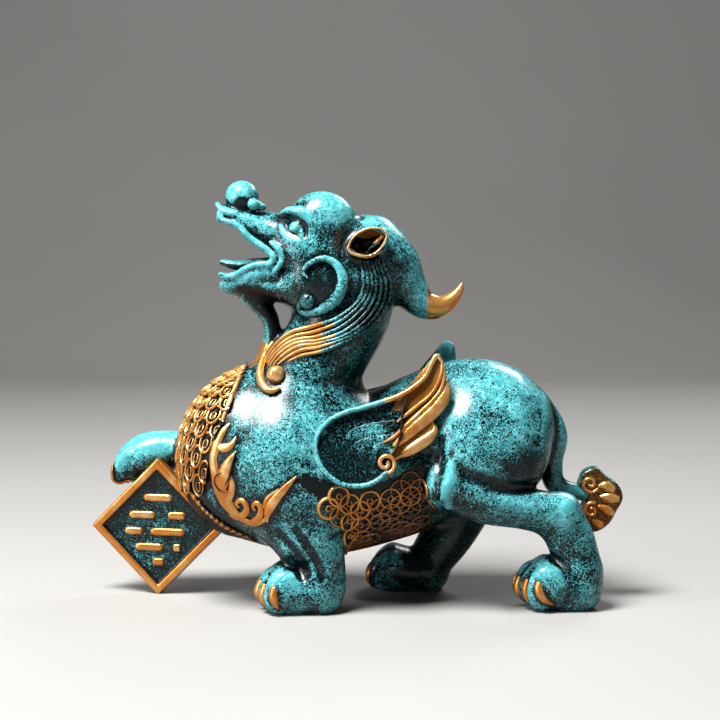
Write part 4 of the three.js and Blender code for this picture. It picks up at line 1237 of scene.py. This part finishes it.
def wing_shell(far, around=160):
    """A polar grid: the outline shrunk towards a middle point, lowest inside, rounded over at the
    rim and closed behind. Gold starts behind a line down the wing, on the outer face only."""
    outline = np.array(wing_outline)
    if far:
        outline[9:13] = far_tip
    loop = through(outline, np.linspace(0, 1, around, endpoint=False))
    inset = np.array([0.02, 0.3, 0.6, 0.8, 0.9, 0.96, 1.0, 1.0, 0.98, 0.9, 0.5, 0.02])
    lifts = np.array([-1.7, -1.7, -1.6, -1.3, -1.0, -0.7, -1.4, -4.5, -5.4, -6.0, -6.0, -6.0])
    flat = wing_middle + (loop - wing_middle) * inset[:, None, None]
    points, faces = closed(on_wing(flat, lifts[:, None], far))
    x, z = np.vstack([flat.reshape(-1, 2), wing_middle, wing_middle]).T
    gold_line = np.interp(z, [60, 64.8, 73.5, 81.5, 87.1], [12, 13.5, 17.2, 17.5, 14.3])
    gilt = between(x - gold_line, -3.0, 1.5) * (z > 62)
    outer_face = np.concatenate([np.repeat(lifts > -2, around), [True, False]])
    values = {"fold": np.where(outer_face, 0.30 + 0.4 * gilt, 0.8),
              "mass": np.where(outer_face, 0.2, 0.8), "gilt": 0.8 * gilt * outer_face, "ink": 0.0}
    return points, faces, values


def wing_rim(far, rows=160, sides=14):
    """The cord round the dish, gold along the feathers and teal round the front. The half of its
    section that faces the beast stays teal all along."""
    line = [(x, z, 1.15, 1.5, -0.4) for x, z in rim_line]
    line[0] = (*rim_line[0], 0.5, 0.9, -0.6)
    surface = wing_bead(line, far, rows=rows, sides=sides)
    d = drawn(line, rows)
    d = np.concatenate([np.repeat(d, sides, 0), d[[0, -1]]])
    turned_away = np.concatenate([np.tile(np.arange(sides) > sides / 2, rows), [False, False]])
    gilt = between(d[:, 0], 6.0, 15.0) * (d[:, 1] > 70)
    surface[2]["fold"] = np.where(turned_away, 0.6, 1.1 * surface[2]["fold"])
    surface[2]["gilt"] = np.where(turned_away, 0.0, gilt)
    return surface


def wing(far):
    """The shell, and on it the rim, its curl, the feathers, the black line and the coverts."""
    curl = spiral((11.0, 61.2), -75, 1.35, 4.0, 0.7, 14)
    made = [wing_shell(far), wing_rim(far),
            wing_bead([(x, z, 0.95, 1.6, -0.1) for x, z in curl], far, rows=70, gilt=1.0)]
    made += [wing_bead(line, far, gilt=1.0) for line in quills]
    made += [wing_bead(line, far, sides=18, gilt=1.0) for line in feathers]
    made.append(wing_bead(black_line, far, sides=10, ink=1.0))
    for line in coverts:
        surface = wing_bead(line, far, mass=0.3)
        surface[2]["fold"] = 0.42
        made.append(surface)
    return made


piece("near_wing", wing(False), teal)
piece("far_wing", wing(True), teal)

# %% [markdown]
# ## Claws and ear rims
# Claws are short gold hooks set into the toes, and the ears are edged with a gold bead.

# %% Claws
claw_rows = 24
paw_claw = [(1.0, 0.5), (1.7, 1.2), (1.8, 1.5), (1.4, 1.3), (0.35, 0.4)]
raised_claw = [(1.4, 0.5), (2.1, 1.3), (2.1, 1.7), (1.4, 1.4), (0.35, 0.4)]


def claw(start, ahead, sizes):
    """A hook dropped onto its toe from in front, from half widths and half heights down its length."""
    path, found = held_down(start, -ahead, lift=-0.1)
    size = drawn(sizes, claw_rows)[found]
    grid, fold = moulding(path, outward(path), size[:, 0], size[:, 1], sides=14)
    return bead(grid, between(fold, 0.0, 0.4))


def claws(heel, y, length, half_wide, high, turned, sweep=5):
    """One claw per toe, thick at the knuckle and swinging back to a point by the sole, the last one
    by sweep. The toes fan out, more to the side that the paw is turned to."""
    made, t = [], np.linspace(0, 1, claw_rows)
    for across in toes_across:
        lean = turned * across
        swing = math.radians(20 + 24 * lean)
        ahead = np.array([-math.cos(swing), turned * math.sin(swing), 0])
        front = heel - length + toe_back(across, length, turned)
        root = np.array([front + 5, y + across * half_wide * toe_spread, 0])
        start = root + 14 * ahead + np.outer(sweep * max(lean, 0.2) * t ** 2, [1, 0, 0])
        start[:, 2] = high * (0.60 - 0.44 * t)
        made.append(claw(start, ahead, paw_claw))
    return made


gold_claws = claws(*near_fore_paw, sweep=1.5) + claws(*near_hind_paw) + claws(*far_hind_paw)
for y in raised_toes:
    turn = np.radians(np.linspace(-5, 62, claw_rows))
    ahead = np.stack([-np.cos(turn), 0 * turn, -np.sin(turn)], -1)
    gold_claws.append(claw(np.array(from_perch(-9, y, -3, 0, 0)[:3]) + 20 * ahead, ahead, raised_claw))
piece("claws", gold_claws, gold)

# %% Ear rims
ear_outline = [(-4.0, 146.4), (-2.3, 150.1), (1.5, 153.2), (5.5, 154.3), (9.8, 153.8), (11.6, 151.9),
               (10.5, 148.3), (7.9, 144.7), (4.1, 142.9), (-0.1, 143.5), (-2.9, 144.7), (-4.0, 146.4)]
ear_out = 22.3
rim = through(ear_outline, np.linspace(0, 1, 60, endpoint=False))
rim = np.stack([rim[:, 0], np.full(len(rim), -ear_out), rim[:, 1]], -1)
rim_width = 0.5 + 0.25 * between(-rim[:, 2], -149, -144)
out = np.broadcast_to((0.0, -1.0, 0.1), rim.shape)
grid, fold = moulding(rim, out, rim_width, 0.9, sides=12, loop=True)
ear_rim = bead(grid, 0.55 + 0.45 * between(fold, 0.0, 0.4), loop=True)
piece("ear_rims", both_flanks(ear_rim), gold)

# %% [markdown]
# ## Tail tuft
# The tail ends in a cloud-shaped tuft, gold on both faces with a teal edge, with two spirals and
# fat lobes. The plate is a polar grid like the wing's shell, and the lobes are low domes on it.

# %% Tail tuft
cloud = [(91.4, 48), (94, 53.6), (99.2, 55.2), (103.2, 51.6), (108.2, 48), (110.2, 42.6), (107.6, 37),
         (104.2, 31.4), (98.4, 28.2), (93.8, 31.6), (93.2, 37.6), (95.2, 42.8), (91.4, 48)]
loop = through(cloud, np.linspace(0, 1, 120, endpoint=False))
tuft_middle = np.array([100.4, 42.0])
inset = np.array([0.02, 0.5, 0.8, 0.92, 0.98, 1.0, 1.0, 0.98, 0.92, 0.8, 0.5, 0.02])
depth = np.array([4.2, 4.2, 4.2, 4.1, 3.6, 2.4, -2.4, -3.6, -4.1, -4.2, -4.2, -4.2])
flat = tuft_middle + (loop - tuft_middle) * inset[:, None, None]
grid = np.stack([flat[..., 0], -np.broadcast_to(depth[:, None], flat.shape[:2]), flat[..., 1]], -1)
points, faces = closed(grid)
face_share = between(np.abs(points[:, 1]), 3.5, 4.0)
tuft = [(points, faces, {"fold": 0.43, "mass": 0.7, "gilt": face_share, "ink": 0.0})]


def tuft_bead(line, rows=50, sides=14):
    """A bead on the tuft's near face from (x, z, half width, half height), and its mirror."""
    d = drawn(line, rows)
    path = np.stack([d[:, 0], np.full(rows, -4.1), d[:, 1]], -1)
    grid, fold = moulding(path, np.broadcast_to((0.0, -1.0, 0.0), path.shape), d[:, 2], d[:, 3], sides=sides)
    return both_flanks(bead(grid, between(fold, 0, 0.7), gilt=1.0))


for centre, start, turns, size in (((96.3, 48.6), -30, -1.3, 3.8), ((96.9, 37.6), 60, 1.2, 3.4)):
    curl = spiral(centre, start, turns, size, 0.6, 14)
    tuft += tuft_bead([(x, z, 0.9, 1.4) for x, z in curl])
for lobe in ([(99.6, 47.4, 0.9, 1.0), (103.0, 47.6, 2.4, 2.0), (106.4, 46.0, 1.6, 1.2)],
             [(100.2, 43.2, 0.9, 1.0), (104.4, 42.8, 2.6, 2.1), (108.4, 42.2, 1.4, 1.1)],
             [(99.6, 39.4, 0.9, 1.0), (103.4, 37.6, 2.4, 2.0), (106.2, 36.2, 1.3, 1.1)],
             [(97.4, 33.6, 0.9, 0.9), (99.8, 31.8, 2.0, 1.5), (102.0, 31.8, 1.0, 0.9)]):
    tuft += tuft_bead(lobe, rows=24, sides=18)
piece("tail_tuft", tuft, teal)

# %% [markdown]
# ## Plaque
# The plaque is a square slab on its corner with a raised gold frame round a sunk field. Rows of
# short strokes stand in the field. The slab is a stack of rounded squares: one parameter runs round
# the square, the other from the middle of the field over the frame to the back.

# %% Plaque
half_side = plaque_side / 2
along_plaque = np.array([math.cos(plaque_turn), -math.sin(plaque_turn), 0])
face_out = np.array([-math.sin(plaque_turn), -math.cos(plaque_turn), 0])


def on_plaque(across, up, lift):
    """A point of the plaque: across and up in its own plane, lift out of its face."""
    across, up, lift = (np.asarray(v, float)[..., None] for v in (across, up, lift))
    return (plaque_centre + along_plaque * across + np.array([0, 0, 1.0]) * up
            + face_out * (plaque_thickness / 2 + lift))


field_half = half_side - frame_bar
profile = np.array([(0.3, -field_depth), (field_half * 0.5, -field_depth),
                    (field_half - 0.9, -field_depth),
                    (field_half - 0.3, -field_depth + 0.1), (field_half, -field_depth + 0.4),
                    (field_half + 0.1, -0.5), (field_half + 0.5, -0.08), (field_half + 1.0, 0.0),
                    (half_side - 1.0, 0.0), (half_side - 0.45, -0.1), (half_side - 0.1, -0.5),
                    (half_side, -1.0),
                    (half_side, -plaque_thickness + 1), (half_side - 0.4, -plaque_thickness + 0.2),
                    (half_side - 1.2, -plaque_thickness), (half_side * 0.5, -plaque_thickness),
                    (0.3, -plaque_thickness)])
round_share, round_steps = 0.035, 9
quarter = np.radians(90 * np.arange(4))[:, None]
angle = quarter + np.radians(np.linspace(-45, 45, round_steps))
square_x = ((1 - round_share) * math.sqrt(2) * np.cos(quarter) + round_share * np.cos(angle)).ravel()
square_z = ((1 - round_share) * math.sqrt(2) * np.sin(quarter) + round_share * np.sin(angle)).ravel()
flat_x, flat_z = profile[:, :1] * square_x, profile[:, :1] * square_z
grid = on_plaque(flat_x, flat_z, np.broadcast_to(profile[:, 1:], flat_x.shape))
points, faces = closed(grid)
points[:, 2] = np.maximum(points[:, 2], 0.0)
row_gilt = np.array([0, 0, 0, 0, 0.3, 1, 1, 1, 1, 1, 1, 1, 0.9, 0.4, 0, 0, 0.0])
row_fold = np.array([0.62, 0.58, 0.35, 0.05, 0, 0.4, 0.9, 0.8, 0.8, 0.9, 0.8, 0.6,
                     0.5, 0.5, 0.5, 0.5, 0.5])
row_mass = np.array([0.4, 0.4, 0.2, 0.1, 0, 0.5, 1, 1, 1, 1, 1, 1, 0.7, 0.6, 0.6, 0.6, 0.6])
per_point = [np.concatenate([np.repeat(row, 4 * round_steps), row[[0, -1]]])
             for row in (row_fold, row_mass, row_gilt)]
plaque = [(points, faces, dict(zip(("fold", "mass", "gilt"), per_point)))]
strokes = [(0, 0.3, 0.3), (-0.17, 0.12, 0.28), (0.2, 0.12, 0.2), (-0.26, -0.05, 0.2),
           (0.1, -0.05, 0.36), (-0.1, -0.21, 0.3), (0.2, -0.21, 0.1), (0, -0.36, 0.14)]
stroke_half_wide, stroke_half_high = 1.65, 1.4
for across, up, length in strokes:
    s = np.linspace(-1, 1, 24)
    half_length = length * plaque_side * 0.58 - 0.8
    path = on_plaque(across * plaque_side + s * half_length, up * plaque_side + 0 * s,
                     -field_depth - 0.1 + 0 * s)
    taper = np.sqrt(1 - np.abs(s) ** 8 * 0.98)
    grid, fold = moulding(path, np.broadcast_to(face_out, path.shape), stroke_half_wide * taper,
                          stroke_half_high * taper, sides=14, square=0.75)
    plaque.append(bead(grid, between(fold, 0, 0.6), gilt=1.0))
piece("plaque", plaque, teal)

# %% [markdown]
# ## Black at the foot of the carving
# The sponged black also stays in the corner between the carving and the skin, which draws a dark
# line round every flame and lock. The carving's points are marked in a grid, the marks are spread a
# little, and the skin's fold value falls where the spread marks reach it.

# %% Marks of the carving, spread
marks = np.zeros(shape, np.float32)
for name in ("flames", "chest_border", "mane", "cheek_scrolls", "claws", "ear_rims"):
    cells = np.round(points_of(bpy.data.objects[name]) / voxel - first).astype(int)
    marks[tuple(cells.T)] = 1
for _ in range(2):
    marks = softened(marks, max(1, round(0.9 / voxel)))
foot = between(sample(marks, at), 0.01, 0.14)
write_attribute(skin.data, "fold", skin_fold * (1 - 0.6 * foot))
print("skin darkened at the foot of carving:", int((foot > 0.5).sum()), "points")

# %% [markdown]
# ## Floor, light and camera
# The figure stands on a plain pale floor that curves up behind it. A large soft oval lamp nearly
# overhead, a little to the left and in front, makes the broad highlights on shoulder, brow and rump,
# and a tall one at the left lights the chest. Fill is low, so that the far side stays dark. The
# camera stands where the photographer stood: 0.7 m away, level with the beast's eyes, and tipped down by
# four degrees. The plain display is chosen because the film-like one greys strong colours, and this
# paint is strong teal, black and gold.

# %% Floor
def backdrop():
    """A floor profile carried sideways: flat, then a quarter circle of radius r, then upright."""
    r, back = 0.6, 1.1
    a = np.radians(np.linspace(0, 90, 24))
    curve = np.stack([back + r * np.sin(a), r - r * np.cos(a)], -1)
    profile = np.vstack([[(-3.0, 0)], curve, [(back + r, 3.0)]])
    x = np.array([-4.0, 4.0])
    grid = np.stack([np.repeat(x[None], len(profile), 0), np.repeat(profile[:, :1], 2, 1),
                     np.repeat(profile[:, 1:], 2, 1)], -1)
    i = np.arange(len(profile) * 2).reshape(-1, 2)
    faces = np.stack([i[:-1, 0], i[:-1, 1], i[1:, 1], i[1:, 0]], -1)
    mesh = bpy.data.meshes.new("floor")
    mesh.from_pydata(grid.reshape(-1, 3).tolist(), [], faces.tolist())
    mesh.shade_smooth()
    made = bpy.data.objects.new("floor", mesh)
    bpy.context.collection.objects.link(made)
    paint = Paint("pale_floor")
    cloud = paint.noise(3, 4)
    colour = paint.mix(cloud, (0.205, 0.20, 0.19, 1), (0.235, 0.23, 0.22, 1))
    mesh.materials.append(paint.finish(paint.noise(900, 3), 0.00005, Base_Color=colour, Roughness=0.7))
    return made


backdrop()


# %% Lights
def soft_light(name, place, aim, size, watts):
    """An oval lamp at place, turned so that its face looks at aim."""
    lamp = bpy.data.lights.new(name, "AREA")
    lamp.shape, lamp.size, lamp.size_y = "ELLIPSE", *size
    lamp.energy = watts
    made = bpy.data.objects.new(name, lamp)
    bpy.context.collection.objects.link(made)
    made.location = place
    made.rotation_euler = (Vector(aim) - made.location).to_track_quat("-Z", "Y").to_euler()


soft_light("key", (-0.34, -0.30, 1.00), (0, 0, 0.08), (0.40, 0.50), 46)
soft_light("left_strip", (-1.0, -0.55, 0.42), (0, 0, 0.1), (0.30, 0.80), 8.5)
soft_light("side_fill", (1.1, -0.7, 0.5), (0, 0, 0.08), (0.8, 0.9), 1.3)
soft_light("rim", (0.5, 0.8, 0.8), (0, 0, 0.1), (0.6, 0.3), 6)
world = bpy.data.worlds.new("studio")
world.use_nodes = True
backlight = world.node_tree.nodes["Background"]
backlight.inputs["Color"].default_value = (0.80, 0.82, 0.85, 1)
backlight.inputs["Strength"].default_value = 0.06
bpy.context.scene.world = world

# %% Camera
lens = bpy.data.cameras.new("camera")
lens.sensor_width, lens.lens = 36, 84.5
camera_place = np.array([0.83, -700.0, 150.0])
tipped_down = 4.1
camera = bpy.data.objects.new("camera", lens)
camera.location = ((camera_place + shift) / 1000).tolist()
camera.rotation_euler = (math.radians(90 - tipped_down), 0, 0)
bpy.context.collection.objects.link(camera)
bpy.context.scene.camera = camera
bpy.context.scene.view_settings.view_transform = "Standard"
